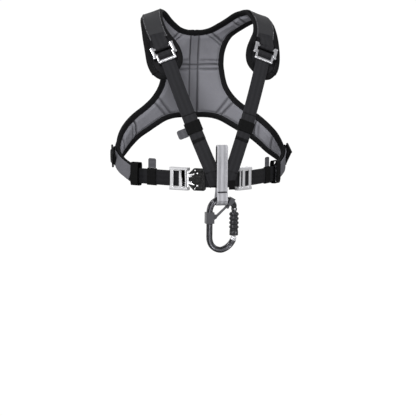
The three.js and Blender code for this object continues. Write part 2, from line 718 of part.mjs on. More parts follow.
function strapSide(share) {
  return beltTangent.clone().lerp(buckleFrame.xAxis.clone().multiplyScalar(Math.sign(beltTangent.dot(buckleFrame.xAxis))), share).normalize();
}

function frontStrap() {
  const foot = [-BELT_WIDTH / 2, 0, BELT_WIDTH / 2].map(strapFootPoint);
  const main = strapStops.map(strapShare);
  const fold = strapFold.map(([y, z]) => inFrame(buckleFrame, 0, y, z));
  const sides = [...foot.map(() => strapSide(0)), ...strapStops.map(strapSide), ...fold.map(() => strapSide(1))];
  return strip([...foot, ...main, ...fold], sides, WEB_WIDTH, WEB_WALL);
}

addPair("v_strap", frontStrap(), "webbing");

function strapFrame(share) {
  const down = strapShare(share - 0.03).sub(strapShare(share + 0.03));
  const side = strapSide(share);
  return frameAt(strapShare(share), down, side.clone().cross(down).dot(STRAP_FACING) > 0
    ? side.clone().cross(down) : down.clone().cross(side));
}

// The spare end lies doubled on the strap and runs through an elastic keeper
const TAIL_FROM = 0.28;
const TAIL_TO = 0.53;
const STRAP_KEEPER = 0.41;

function strapTail() {
  const stops = [0, 0.25, 0.5, 0.75, 1].map((step) => mix(TAIL_FROM, TAIL_TO, step));
  const frames = stops.map(strapFrame);
  const lift = WEB_WALL + GAP;
  const points = frames.map(({ origin, out }) => along(origin, out, lift));
  return strip(points, stops.map(strapSide), WEB_WIDTH, WEB_WALL);
}

function strapKeeper() {
  const frame = strapFrame(STRAP_KEEPER);
  const stack = 2 * WEB_WALL + GAP;
  frame.origin = along(frame.origin, frame.out, (WEB_WALL + GAP) / 2);
  return sleeve(frame, WEB_WIDTH + 6 * GAP, stack + 4 * GAP, KEEPER_LENGTH, KEEPER_WALL);
}

addPair("v_tail", strapTail(), "webbing");
addPair("v_keeper", strapKeeper(), "elastic");

// A small pull tab with rounded corners; its root is at y = 0
function tabPlate(frame) {
  const round = TAB_WIDTH * 0.2;
  const half = TAB_WIDTH / 2;
  const shape = new THREE.Shape();
  shape.moveTo(-half, 0);
  shape.lineTo(half, 0);
  shape.lineTo(half, TAB_LENGTH - round);
  shape.absarc(half - round, TAB_LENGTH - round, round, 0, Math.PI / 2, false);
  shape.absarc(-half + round, TAB_LENGTH - round, round, Math.PI / 2, Math.PI, false);
  shape.closePath();
  const plate = new THREE.ExtrudeGeometry(shape, { depth: TAB_WALL, bevelEnabled: false, curveSegments: 3 });
  return placed(fromManifold(toManifold(plate.translate(0, 0, -TAB_WALL / 2))), frame);
}

const leftKeeper = strapFrame(STRAP_KEEPER);
const keeperHalf = WEB_WIDTH / 2 + 3 * GAP + KEEPER_WALL;
const strapTabFrame = {
  origin: mirrored(inFrame(leftKeeper, 0, KEEPER_LENGTH * 0.25, (WEB_WALL + GAP) / 2)),
  xAxis: mirrored(leftKeeper.yAxis),
  yAxis: mirrored(leftKeeper.xAxis),
  out: mirrored(leftKeeper.out),
};
if (strapTabFrame.yAxis.x > 0) {
  strapTabFrame.yAxis.negate();
}
strapTabFrame.origin = along(strapTabFrame.origin, strapTabFrame.yAxis, keeperHalf + 2 * GAP);
strapTabFrame.out = strapTabFrame.xAxis.clone().cross(strapTabFrame.yAxis);
addMesh("tab_strap_left", tabPlate(strapTabFrame), "tab");

// Belt
function beltKeeper(side) {
  const frame = beltFrame(side * (KEEPER_AT - 6), side * (KEEPER_AT + 6));
  const turned = { origin: frame.origin, xAxis: frame.yAxis.negate(), yAxis: frame.xAxis, out: frame.out };
  return sleeve(turned, BELT_WIDTH + 3 * GAP, BELT_WALL + 5 * GAP, KEEPER_LENGTH, KEEPER_WALL);
}

addMesh("belt_keeper_right", beltKeeper(1), "elastic");
addMesh("belt_keeper_left", beltKeeper(-1), "elastic");

for (const [name, side] of [["right", 1], ["left", -1]]) {
  const frame = beltFrame(side * (KEEPER_AT - 6), side * (KEEPER_AT + 6));
  const top = BELT_WIDTH / 2 + 1.5 * GAP + KEEPER_WALL + GAP;
  addMesh(`tab_belt_${name}`, tabPlate({ ...frame, origin: along(frame.origin, frame.yAxis, top) }), "tab");
}

const outerStops = beltStops(ADJUSTER_OUTER, BELT_ENDS).map(([x, depth]) => [-x, depth]).reverse();
addMesh("belt_left", beltStrip([...outerStops, [-ADJUSTER_INNER - 5, 0]]), "webbing");
const LAYER = BELT_WALL / 2 + GAP / 2; // two layers of belt lie this far each side of the middle
addMesh("belt_centre", beltStrip([[-RELEASE_INNER + 3, 0], ...beltStops(-RELEASE_INNER + 8, RIGHT_INNER - 4),
  [RIGHT_INNER + 2, -LAYER], [RIGHT_OUTER - 14, -LAYER]]), "webbing");
addMesh("belt_right", beltStrip([[RIGHT_INNER + 8, LAYER], [RIGHT_OUTER - 10, LAYER],
  [RIGHT_OUTER, 0], ...beltStops(RIGHT_OUTER + 8, BELT_ENDS)]), "webbing");

// A steel adjuster: two arms over and under the belt, bars in front of it and one behind
const ARM_CLEAR = BELT_WIDTH / 2 + 3 * GAP;
const ADJUSTER_ARM = ADJUSTER_HEIGHT / 2 - ARM_CLEAR;
const BEHIND = -LAYER - BELT_WALL / 2 - GAP - ADJUSTER_BAR / 2 - 0.9;
const BEFORE = LAYER + BELT_WALL / 2 + GAP + ADJUSTER_BAR / 2 + 0.9;
const ADJUSTER_BARS = [["outer", -0.41, 7, BEFORE], ["middle", 0.14, 6.5, BEFORE], ["thin", 0.44, 2.5, BEFORE],
  ["rear", 0.3, 5, BEHIND]].map(([name, place, width, depth]) => ({ name, place, width, depth }));

function adjuster(frame, side) {
  const armDepth = BEFORE - BEHIND + ADJUSTER_BAR;
  const armHeight = ARM_CLEAR + ADJUSTER_ARM / 2;
  const pieces = [1, -1].map((end) => bar(0, end * armHeight, (BEFORE + BEHIND) / 2, ADJUSTER_LENGTH + 4, ADJUSTER_ARM, armDepth));
  for (const { place, width, depth } of ADJUSTER_BARS) {
    pieces.push(uprightBar(side * place * ADJUSTER_LENGTH, 0, depth, 2 * armHeight, width, ADJUSTER_BAR));
  }
  return placed(fromManifold(joined(pieces)), frame);
}

addMesh("belt_adjuster_left", adjuster(beltFrame(-ADJUSTER_OUTER, -ADJUSTER_INNER), 1), "steel");
addMesh("belt_adjuster_right", adjuster(beltFrame(RIGHT_INNER, RIGHT_OUTER), -1), "steel");

// The quick-release buckle: a six-sided body, a forked tongue that enters it and four rivets
const releaseFrame = beltFrame(-ADJUSTER_INNER + 1.5, -RELEASE_INNER);
const CHAMFER = 10;
const TONGUE_WALL = 2.4;
const PRONG_AT = 7; // height of each prong over the middle
const PRONG_HEIGHT = 6;
const PRONG_LENGTH = 15;

function releaseOutline(grow) {
  const a = RELEASE_LENGTH / 2 + grow;
  const b = RELEASE_HEIGHT / 2 + grow;
  return new THREE.Shape([
    new THREE.Vector2(-a, -b + CHAMFER),
    new THREE.Vector2(-a + CHAMFER, -b),
    new THREE.Vector2(a - 2, -b),
    new THREE.Vector2(a, -b + 2),
    new THREE.Vector2(a, b - 2),
    new THREE.Vector2(a - 2, b),
    new THREE.Vector2(-a + CHAMFER, b),
    new THREE.Vector2(-a, b - CHAMFER),
  ]);
}

const RIVET_PLACES = [[-0.08, 0.42], [0.05, 0.28], [0.05, -0.28], [-0.08, -0.42]]
  .map(([x, y]) => [x * RELEASE_LENGTH, y * RELEASE_HEIGHT]);
const RIVET_DEEP = 2;
const RIVET_PROUD = 0.8;
const rivetShape = (x, y, radius, low, high) =>
  new THREE.CylinderGeometry(radius, radius, high - low, 10).rotateX(Math.PI / 2).translate(x, y, (low + high) / 2);

function releaseBody() {
  const options = { depth: RELEASE_DEPTH - 2, bevelThickness: 1, bevelSize: 1, bevelSegments: 1 };
  const shell = new THREE.ExtrudeGeometry(releaseOutline(-1), options).translate(0, 0, -RELEASE_DEPTH / 2 + 1);
  const left = -RELEASE_LENGTH / 2;
  const right = RELEASE_LENGTH / 2;
  const pocket = box(left, 0, 0, 2 * (PRONG_LENGTH + GAP), 2 * PRONG_AT + PRONG_HEIGHT + 2 * GAP, TONGUE_WALL + 2 * GAP);
  const slot = box(right, 0, 0, 14, BELT_WIDTH + 4 * GAP, BELT_WALL + 4 * GAP);
  const notches = [1, -1].map((end) => box(left, end * PRONG_AT, RELEASE_DEPTH / 2, 14, PRONG_HEIGHT, RELEASE_DEPTH));
  const seats = RIVET_PLACES.map(([x, y]) =>
    rivetShape(x, y, RIVET_RADIUS + GAP / 2, RELEASE_DEPTH / 2 - RIVET_DEEP - GAP / 2, RELEASE_DEPTH));
  return placed(fromManifold(cutBy(toManifold(shell), [pocket, slot, ...notches, ...seats])), releaseFrame);
}

function releaseTongue() {
  const left = -RELEASE_LENGTH / 2;
  const root = box(left - 2.6, 0, 0, 4, BELT_WIDTH, TONGUE_WALL);
  const prongs = [1, -1].map((end) => box(left + PRONG_LENGTH / 2 - 1, end * PRONG_AT, 0, PRONG_LENGTH, PRONG_HEIGHT - GAP, TONGUE_WALL));
  return placed(fromManifold(joined([root, ...prongs])), releaseFrame);
}

addMesh("release_body", releaseBody(), "plastic");
addMesh("release_tongue", releaseTongue(), "steel");
RIVET_PLACES.forEach(([x, y], i) => {
  const rivet = rivetShape(x, y, RIVET_RADIUS, RELEASE_DEPTH / 2 - RIVET_DEEP, RELEASE_DEPTH / 2 + RIVET_PROUD);
  addMesh(`release_rivet_${i + 1}`, placed(rivet, releaseFrame), "steel");
});

// The blank tag hangs in front of the foot of the front strap
const TAG_WIDTH = 13;
const TAG_HEIGHT = 18;
const TAG_WALL = 1.5;
const tagFrame = frameAt(along(strapFootPoint(-2), STRAP_FACING, WEB_WALL / 2 + GAP + TAG_WALL / 2), vec(0, 0, -1), STRAP_FACING);
addMesh("blank_tag", placed(box(0, TAG_HEIGHT / 2 - 1, 0, TAG_WIDTH, TAG_HEIGHT, TAG_WALL), tagFrame), "elastic");

// The bands that finish the wings, and the sliders on the flanks
function wingBand() {
  const outside = beltPoint(KEEPER_AT + 15);
  const way = outside.sub(yokeGrid[WEB_END_ROW][0].clone().lerp(yokeGrid[WEB_END_ROW][LAST_COLUMN], 0.5)).setZ(0).normalize();
  const xAxis = vec(0, 0, 1);
  const out = xAxis.clone().cross(way);
  if (out.dot(beltOut(wingEnd.x)) < 0) {
    out.negate();
    way.negate();
  }
  const top = yokeGrid[WEB_END_ROW - 1][0].z;
  const foot = lastRow[LAST_COLUMN].z;
  const inner = PAD_LINING + 1.5 * WEB_EASE;
  const outer = WEB_LIFT + WEB_WALL + WEB_EASE;
  const origin = along(wingEnd.clone().setZ((top + foot) / 2), out, (outer - inner) / 2);
  return sleeve({ origin, xAxis, yAxis: way, out }, top - foot + 6 * GAP, inner + outer, KEEPER_LENGTH, KEEPER_WALL);
}

addPair("wing_band", wingBand(), "elastic");

const SLIDER_STAND = 0.3; // the flat slider stands on the round of the flank

function sideSlider() {
  const seat = onYoke(33, WEB_LIFT + WEB_WALL + SLIDER_DEPTH / 2 + SLIDER_STAND);
  const down = onYoke(34, 0).point.sub(onYoke(32, 0).point);
  const frame = frameAt(seat.point, down, seat.normal);
  const half = SLIDER_HEIGHT / 2;
  const rails = [1, -1].map((end) => uprightBar(end * (half - 2), 0, 0, SLIDER_LENGTH, 4, SLIDER_DEPTH));
  const bars = [-0.42, 0, 0.42].map((share) => bar(0, share * SLIDER_LENGTH, 0, 2 * half - 2, 4, SLIDER_DEPTH));
  return placed(fromManifold(joined([...rails, ...bars])), frame);
}

addPair("side_slider", sideSlider(), "plastic");

// The carabiner lies in an upright plane; across is -1 at the spine and 1 at the gate, up is 1 at the top bow
const CARABINER_X = 3.5;
const CARABINER_Y = -FRONT_DEPTH - 1;
const SPINE_X = -(CARABINER_WIDTH - ROD_WIDTH) / 2;
const GATE_X = CARABINER_WIDTH / 2 - SLEEVE_RADIUS - RIB_HEIGHT;
const BOW_Z = (CARABINER_HEIGHT - ROD_WIDTH) / 2;
const BIGHT_RADIUS = 10.2; // inside of the loop's lower end, round the bow
const LOOP_TOP_ABOVE = 65; // top of the loop over the belt's middle
const LOOP_TOP_RADIUS = 4;
const BOW_BELOW = 37; // the bow's axis under the belt's middle
const carabinerOrigin = vec(CARABINER_X, CARABINER_Y, BELT_Z - BOW_BELOW - BOW_Z);
const HINGE_UP = 0.6;
const NOSE_UP = -0.5;
const CARABINER_COLUMNS = ["across", "up"];
const CARABINER_LINE = [
  [1, 0.66], [0.96, 0.755], [0.8, 0.875], [0.46, 0.965], [0, 1], [-0.45, 0.955], [-0.8, 0.815], [-0.98, 0.6],
  [-1, 0.3], [-1, 0], [-1, -0.3], [-0.98, -0.6], [-0.81, -0.815], [-0.47, -0.955], [-0.05, -1], [0.34, -0.935],
  [0.67, -0.81], [0.9, -0.65], [1, NOSE_UP],
].map((row) => Object.fromEntries(CARABINER_COLUMNS.map((name, i) => [name, row[i]])));

const carabinerPoint = (across, up) => vec(mix(SPINE_X, GATE_X, (across + 1) / 2), 0, up * BOW_Z);
const carabinerCurve = new THREE.CatmullRomCurve3(
  CARABINER_LINE.map(({ across, up }) => carabinerPoint(across, up)), false, "centripetal");

// The rod has a shallow recess in its front and back faces
function rodSection(grow) {
  const a = ROD_WIDTH / 2 + grow;
  const b = ROD_DEPTH / 2 + grow;
  const recess = grow > 0 ? 0 : 1.2;
  const quarter = [[a, b * 0.4], [a * 0.76, b * 0.95], [a * 0.5, b], [a * 0.36, b - recess]];
  const right = [...quarter.map(([x, y]) => [x, -y]).reverse(), ...quarter];
  return [...right, ...right.map(([x, y]) => [-x, -y])];
}

function rodSweep(grow, steps) {
  const rings = Array.from({ length: steps + 1 }, (unused, i) => {
    const point = carabinerCurve.getPoint(i / steps);
    const tangent = carabinerCurve.getTangent(i / steps);
    const across = vec(tangent.z, 0, -tangent.x);
    return rodSection(grow).map(([x, y]) => along(along(point, across, x), vec(0, 1, 0), y));
  });
  return loft(rings);
}

const hinge = carabinerPoint(1, HINGE_UP);
const acrossDisc = (centre, radius, thickness, sides) =>
  new THREE.CylinderGeometry(radius, radius, thickness, sides).translate(centre.x, 0, centre.z);
const atCarabiner = (geometry) => geometry.clone().translate(...carabinerOrigin.toArray());
const ROD_STEPS = 40;
const HINGE_CLEAR = GATE_RADIUS + 1.2;
const TANG_RADIUS = GATE_RADIUS - 0.6;

function carabinerBody() {
  const rod = cutBy(toManifold(rodSweep(0, ROD_STEPS)), [acrossDisc(hinge, HINGE_CLEAR, 3 * ROD_DEPTH, 20)]);
  const lug = acrossDisc(hinge, TANG_RADIUS, TANG, 14);
  const rodEnd = carabinerPoint(0.86, 0.86);
  const reach = hinge.distanceTo(rodEnd);
  const link = box(0, 0, reach / 2, 1.7 * TANG_RADIUS, TANG, reach)
    .rotateY(Math.atan2(rodEnd.x - hinge.x, rodEnd.z - hinge.z))
    .translate(hinge.x, 0, hinge.z);
  const whole = rod.add(toManifold(lug)).add(toManifold(link));
  return fromManifold(cutBy(whole, [acrossDisc(hinge, RIVET_HINGE_RADIUS + GAP / 2, 3 * ROD_DEPTH, 12)]));
}

addMesh("carabiner_body", atCarabiner(carabinerBody()), "anodised");
addMesh("hinge_rivet", atCarabiner(acrossDisc(hinge, RIVET_HINGE_RADIUS, 2 * GATE_RADIUS, 12)), "steel");

const NOSE_CLEAR = 2.3; // the gate's foot clears the corner of the nose as it swings in

// The gate is a pin with a fork at the top that straddles the lug
function gate() {
  const foot = NOSE_UP * BOW_Z + NOSE_CLEAR;
  const length = hinge.z - foot;
  const pin = new THREE.CylinderGeometry(GATE_RADIUS, GATE_RADIUS, length, 16)
    .rotateX(Math.PI / 2)
    .translate(hinge.x, 0, (hinge.z + foot) / 2);
  const eye = acrossDisc(hinge, GATE_RADIUS, 2 * GATE_RADIUS - 0.4, 16);
  const slotDepth = TANG_RADIUS + 2 * GAP;
  const slot = box(hinge.x, 0, hinge.z + GATE_RADIUS - slotDepth / 2, 4 * GATE_RADIUS, TANG + 2 * GAP, slotDepth + 2 * GATE_RADIUS);
  const hole = acrossDisc(hinge, RIVET_HINGE_RADIUS + GAP / 2, 3 * ROD_DEPTH, 12);
  return fromManifold(cutBy(joined([pin, eye]), [slot, hole]));
}

addMesh("gate", atCarabiner(gate()), "anodised");

// The locking sleeve turns round the gate; it has ribs above and a smooth barrel below
const SLEEVE_TOP = hinge.z - 6;
const SLEEVE_FOOT = NOSE_UP * BOW_Z + 3;
const RIB_PITCH = 8.3;
const RIB_LENGTH = 4;

function gateSleeve() {
  const bore = GATE_RADIUS + GAP;
  const profile = [[bore, SLEEVE_TOP], [bore, SLEEVE_FOOT], [SLEEVE_RADIUS - 0.8, SLEEVE_FOOT],
    [SLEEVE_RADIUS, SLEEVE_FOOT + 0.8]];
  const ribbed = Array.from({ length: RIB_COUNT }, (unused, i) => SLEEVE_TOP - 2 - RIB_LENGTH / 2 - i * RIB_PITCH);
  for (const middle of ribbed.reverse()) {
    profile.push([SLEEVE_RADIUS, middle - RIB_LENGTH / 2], [SLEEVE_RADIUS + RIB_HEIGHT, middle - RIB_LENGTH / 4],
      [SLEEVE_RADIUS + RIB_HEIGHT, middle + RIB_LENGTH / 4], [SLEEVE_RADIUS, middle + RIB_LENGTH / 2]);
  }
  profile.push([SLEEVE_RADIUS - 0.8, SLEEVE_TOP], [bore, SLEEVE_TOP]);
  const points = profile.map(([radius, height]) => new THREE.Vector2(radius, height));
  return new THREE.LatheGeometry(points, 16).rotateX(Math.PI / 2).translate(hinge.x, 0, 0);
}

const sleeveGeometry = gateSleeve();
addMesh("gate_sleeve", atCarabiner(fromManifold(toManifold(sleeveGeometry))), "anodised");

// The captive bar: a clip on the spine, a thin bar and a clamp on the top bow
function captiveBar() {
  const spine = carabinerPoint(-1, 0.27);
  const clipWidth = ROD_WIDTH + 2 * BAR_WALL;
  const clipDepth = ROD_DEPTH + 2 * BAR_WALL;
  const clip = box(spine.x, 0, spine.z, clipWidth, clipDepth, 22);
  const tip = carabinerPoint(-0.42, 0.32);
  const ear = new THREE.Shape([
    new THREE.Vector2(spine.x, spine.z + 9),
    new THREE.Vector2(spine.x, spine.z - 10),
    new THREE.Vector2(tip.x, tip.z - 3),
    new THREE.Vector2(tip.x, tip.z + 3),
  ]);
  const wedge = new THREE.ExtrudeGeometry(ear, { depth: 7, bevelEnabled: false }).translate(0, 0, -3.5).rotateX(Math.PI / 2);
  const clampMiddle = carabinerPoint(0.72, 0.895);
  const foot = carabinerPoint(0.42, 0.7);
  const start = along(tip, vec(-1, 0, 0), 2);
  const wayUp = foot.clone().sub(start);
  const rod = new THREE.CylinderGeometry(CAPTIVE_ROD, CAPTIVE_ROD, wayUp.length() + 3, 8)
    .rotateX(Math.PI / 2)
    .rotateY(Math.atan2(wayUp.x, wayUp.z))
    .translate(...start.clone().lerp(foot, 0.5).toArray());
  const turn = 0.5;
  const clamp = box(0, 0, 0, 9, clipDepth, clipWidth).rotateY(turn).translate(clampMiddle.x, 0, clampMiddle.z);
  const stem = box(0, 0, 0, 6.5, 6.5, 11).rotateY(turn).translate(mix(clampMiddle.x, foot.x, 0.8), 0, mix(clampMiddle.z, foot.z, 0.8));
  const keepClear = [rodSweep(GAP, ROD_STEPS), acrossDisc(hinge, SLEEVE_RADIUS + RIB_HEIGHT + 2, 3 * ROD_DEPTH, 20)];
  return fromManifold(cutBy(joined([clip, wedge, rod, clamp, stem]), keepClear));
}

addMesh("captive_bar", atCarabiner(captiveBar()), "captive");

// The sternal loop: in front of the straps, behind the belt, and round the carabiner's bow
function sternalLoop() {
  const bowZ = BELT_Z - BOW_BELOW;
  const frontY = beltPoint(0).y - STRAP_STAND - WEB_WALL / 2 - LOOP_WALL / 2 - 3.2;
  const backY = beltPoint(LOOP_WIDTH / 2).y + BELT_WALL / 2 + GAP + LOOP_WALL / 2;
  const topZ = BELT_Z + LOOP_TOP_ABOVE - LOOP_TOP_RADIUS;
  const topY = (frontY + backY) / 2;
  const low = BELT_Z - BELT_WIDTH / 2 - 3;
  const high = BELT_Z + BELT_WIDTH / 2 + 3;
  const round = BIGHT_RADIUS + LOOP_WALL / 2;
  const line = [
    ...arc(topY, topZ, (backY - frontY) / 2, 0, 180, 6),
    [frontY, mix(topZ, high, 0.5)],
    [frontY, high],
    [frontY, BELT_Z],
    [frontY, low],
    ...arc(CARABINER_Y, bowZ, round, 180, 360, 10),
    [backY, low],
    [backY, BELT_Z],
    [backY, high],
    [backY, mix(topZ, high, 0.5)],
  ];
  const points = line.map(([y, z]) => vec(0, y, z));
  return strip(points, points.map(() => vec(1, 0, 0)), LOOP_WIDTH, LOOP_WALL, true);
}

addMesh("sternal_loop", sternalLoop(), "loop");

export default group;
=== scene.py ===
# A climbing chest harness, dressed for a studio picture. Lengths are millimetres in the CAD frame until a
# mesh is made, when they become metres. Only the lights are placed in metres.
import math
import random

import bmesh
import bpy
import numpy as np
from mathutils import Matrix, Vector


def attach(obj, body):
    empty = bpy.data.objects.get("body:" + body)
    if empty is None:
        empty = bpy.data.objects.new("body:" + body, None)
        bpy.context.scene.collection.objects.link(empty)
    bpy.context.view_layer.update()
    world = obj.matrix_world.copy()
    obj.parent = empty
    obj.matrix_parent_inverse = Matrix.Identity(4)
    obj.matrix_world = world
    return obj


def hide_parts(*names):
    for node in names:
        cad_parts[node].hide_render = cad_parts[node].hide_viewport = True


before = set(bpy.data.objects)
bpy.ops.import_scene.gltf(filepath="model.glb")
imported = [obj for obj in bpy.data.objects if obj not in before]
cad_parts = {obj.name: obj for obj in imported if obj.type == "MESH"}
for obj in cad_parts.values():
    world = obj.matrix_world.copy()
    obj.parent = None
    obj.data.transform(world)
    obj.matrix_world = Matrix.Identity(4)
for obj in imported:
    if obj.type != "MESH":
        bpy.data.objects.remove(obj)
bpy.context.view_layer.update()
rng = random.Random(7)
MM = 0.001


def v(x, y, z):
    return Vector((x, y, z))


ACROSS, DEEP, UPRIGHT, FORWARD = v(1, 0, 0), v(0, 1, 0), v(0, 0, 1), v(0, -1, 0)


def mix(a, b, t):
    return a + (b - a) * t


def smooth(t):
    t = min(max(t, 0.0), 1.0)
    return t * t * (3 - 2 * t)


def mirrored(p):
    return v(-p.x, p.y, p.z)


def to_side(points, side):
    return [p if side == 1 else mirrored(p) for p in points]


def pair(build):
    """Builds the right-hand piece, then its mirror image on the left."""
    for side, label in ((1, "right"), (-1, "left")):
        build(side, label)


def bulge(value, power):
    """A power of the value with its sign kept, which squares off a circle."""
    return math.copysign(abs(value) ** power, value)


# ---- camera and light ----
AZIMUTH, ELEVATION, ROLL = (math.radians(a) for a in (-14.906, 6.577, 0.638))
TARGET = v(6.29, -20, -386.63)
DISTANCE, FOCAL = 3357.9, 1681.4  # the focal length is in pixels of the picture
PICTURE, SENSOR = 416, 36  # widths, in pixels and in millimetres

back = v(math.sin(AZIMUTH) * math.cos(ELEVATION), -math.cos(AZIMUTH) * math.cos(ELEVATION), math.sin(ELEVATION))
right0 = v(math.cos(AZIMUTH), math.sin(AZIMUTH), 0)
up0 = back.cross(right0)
right = right0 * math.cos(ROLL) + up0 * math.sin(ROLL)
up = up0 * math.cos(ROLL) - right0 * math.sin(ROLL)

camera_data = bpy.data.cameras.new("camera")
camera = bpy.data.objects.new("camera", camera_data)
bpy.context.scene.collection.objects.link(camera)
facing = Matrix((right, up, back)).transposed().to_4x4()
camera.matrix_world = Matrix.Translation((TARGET + back * DISTANCE) * MM) @ facing
camera_data.sensor_width = SENSOR
camera_data.sensor_fit = "HORIZONTAL"
camera_data.lens = FOCAL / PICTURE * SENSOR
camera_data.clip_end = 50
bpy.context.scene.camera = camera


def area_light(name, place, aim_height, power, width, height=None):
    """A light that looks at the upright axis: round, or rectangular if it has a height."""
    data = bpy.data.lights.new(name, "AREA")
    data.shape = "RECTANGLE" if height else "DISK"
    data.size, data.energy = width, power
    if height:
        data.size_y = height
    light = bpy.data.objects.new(name, data)
    light.location = place
    light.rotation_euler = (v(0, 0, aim_height) - Vector(place)).to_track_quat("-Z", "Y").to_euler()
    bpy.context.scene.collection.objects.link(light)


area_light("key", (-1.5, -2.4, 1.7), -0.2, 92, 0.8)
area_light("fill", (2.0, -1.9, 0.4), -0.25, 26, 0.9)
area_light("rim", (0.6, 2.2, 1.9), -0.2, 30, 1.2)
area_light("side", (-2.2, 0.1, 0.2), -0.25, 14, 1.0)
area_light("strip_left", (-2.1, -1.9, -0.55), -0.35, 9, 0.16, 2.2)
area_light("strip_right", (1.3, -2.5, -0.75), -0.35, 10, 0.14, 1.8)

# the studio is white behind the part and grey elsewhere, so that metal has something to mirror
world = bpy.data.worlds.new("studio")
world.use_nodes = True
world_tree = world.node_tree
direction = world_tree.nodes.new("ShaderNodeTexCoord")
split = world_tree.nodes.new("ShaderNodeSeparateXYZ")
ramp = world_tree.nodes.new("ShaderNodeMapRange")
ramp.interpolation_type = "SMOOTHSTEP"
for socket, value in (("From Min", 0.45), ("From Max", 0.85), ("To Min", 0.3), ("To Max", 1.03)):
    ramp.inputs[socket].default_value = value
world_tree.links.new(direction.outputs["Generated"], split.inputs[0])
world_tree.links.new(split.outputs["Y"], ramp.inputs["Value"])
world_tree.links.new(ramp.outputs["Result"], world_tree.nodes["Background"].inputs[1])
world_tree.nodes["Background"].inputs[0].default_value = (1, 1, 1, 1)
bpy.context.scene.world = world
bpy.context.scene.view_settings.view_transform = "Standard"


# ---- materials ----
def srgb(*values):
    return tuple((c / 255 / 12.92) if c <= 10 else ((c / 255 + 0.055) / 1.055) ** 2.4 for c in values) + (1,)


WAVE_PERIOD = math.tau / 20  # from band to band of a wave texture at scale 1


class Shader:
    """A principled material with a few calls that add procedural detail to it."""

    def __init__(self, name, colour, rough, metal=0.0, sheen=0.0, specular=0.5):
        self.material = bpy.data.materials.new(name)
        self.material.use_nodes = True
        self.tree = self.material.node_tree
        self.bsdf = self.tree.nodes["Principled BSDF"]
        self.colour = colour
        for socket, value in (("Base Color", colour), ("Roughness", rough), ("Metallic", metal),
                              ("Sheen Weight", sheen), ("Sheen Roughness", 0.5), ("Specular IOR Level", specular)):
            self.bsdf.inputs[socket].default_value = value
        self.height = self.shade = None
        self.coordinates = self.tree.nodes.new("ShaderNodeTexCoord")

    def node(self, kind, **inputs):
        made = self.tree.nodes.new(kind)
        for key, value in inputs.items():
            made.inputs[key].default_value = value
        return made

    def link(self, a, b):
        self.tree.links.new(a, b)

    def mapped(self, scale, space="UV"):
        mapping = self.node("ShaderNodeMapping", Scale=scale)
        self.link(self.coordinates.outputs[space], mapping.inputs["Vector"])
        return mapping.outputs["Vector"]

    def wave(self, pitch, axis, distortion=0.0):
        """Bands, one every pitch millimetres."""
        wave = self.node("ShaderNodeTexWave", Scale=1.0, Distortion=distortion)
        wave.wave_type = "BANDS"
        wave.bands_direction = axis
        self.link(self.mapped([WAVE_PERIOD / (pitch * MM)] * 3), wave.inputs["Vector"])
        return wave.outputs["Fac"]

    def noise(self, size, detail=3.0, space="Object", stretch=(1, 1, 1)):
        noise = self.node("ShaderNodeTexNoise", Scale=1.0, Detail=detail, Roughness=0.6)
        self.link(self.mapped([s / (size * MM) for s in stretch], space), noise.inputs["Vector"])
        return noise.outputs["Fac"]

    def attribute(self, name):
        made = self.tree.nodes.new("ShaderNodeAttribute")
        made.attribute_name = name
        return made.outputs["Fac"]

    def math(self, operation, a, b):
        made = self.tree.nodes.new("ShaderNodeMath")
        made.operation = operation
        for socket, value in zip(made.inputs, (a, b)):
            if isinstance(value, (int, float)):
                socket.default_value = value
            else:
                self.link(value, socket)
        return made.outputs[0]

    def ranged(self, value, low, high):
        return self.math("ADD", self.math("MULTIPLY", value, high - low), low)

    def add_height(self, value, share):
        scaled = self.math("MULTIPLY", value, share)
        self.height = scaled if self.height is None else self.math("ADD", self.height, scaled)

    def add_shade(self, value, low, high):
        """Multiplies the colour by low to high as value goes from 0 to 1."""
        scaled = self.ranged(value, low, high)
        self.shade = scaled if self.shade is None else self.math("MULTIPLY", self.shade, scaled)

    def vary_rough(self, value, low, high):
        self.link(self.ranged(value, low, high), self.bsdf.inputs["Roughness"])

    def done(self, depth, strength=0.6):
        if self.height is not None:
            bump = self.node("ShaderNodeBump", Strength=strength, Distance=depth * MM)
            self.link(self.height, bump.inputs["Height"])
            self.link(bump.outputs["Normal"], self.bsdf.inputs["Normal"])
        if self.shade is not None:
            multiply = self.tree.nodes.new("ShaderNodeVectorMath")
            multiply.operation = "SCALE"
            multiply.inputs[0].default_value = self.colour[:3]
            self.link(self.shade, multiply.inputs["Scale"])
            self.link(multiply.outputs["Vector"], self.bsdf.inputs["Base Color"])
        return self.material


def webbing_material(name, colour, pitch=1.3, rough=0.8, contrast=0.25, sheen=0.12, streak=0.12):
    """Woven strap: ribs across it, columns along it and a fine thread noise."""
    s = Shader(name, colour, rough, sheen=sheen, specular=0.15)
    ribs = s.wave(pitch, "X", distortion=0.6)
    columns = s.wave(pitch * 1.9, "Y")
    weave = s.math("MULTIPLY", ribs, columns)
    s.add_height(weave, 1.0)
    s.add_height(s.noise(0.9, 2.0, "UV"), 0.5)
    s.add_shade(weave, 1 - contrast, 1 + contrast)
    s.add_shade(s.noise(14, 3.0), 0.88, 1.12)
    # warp threads catch the light unevenly along the strap
    s.add_shade(s.noise(2.2, 2.0, "UV", (0.06, 1, 1)), 1 - streak, 1 + streak)
    s.add_shade(s.wave(9.5, "Y", distortion=0.3), 1 - streak, 1 + streak)
    return s.done(0.35)


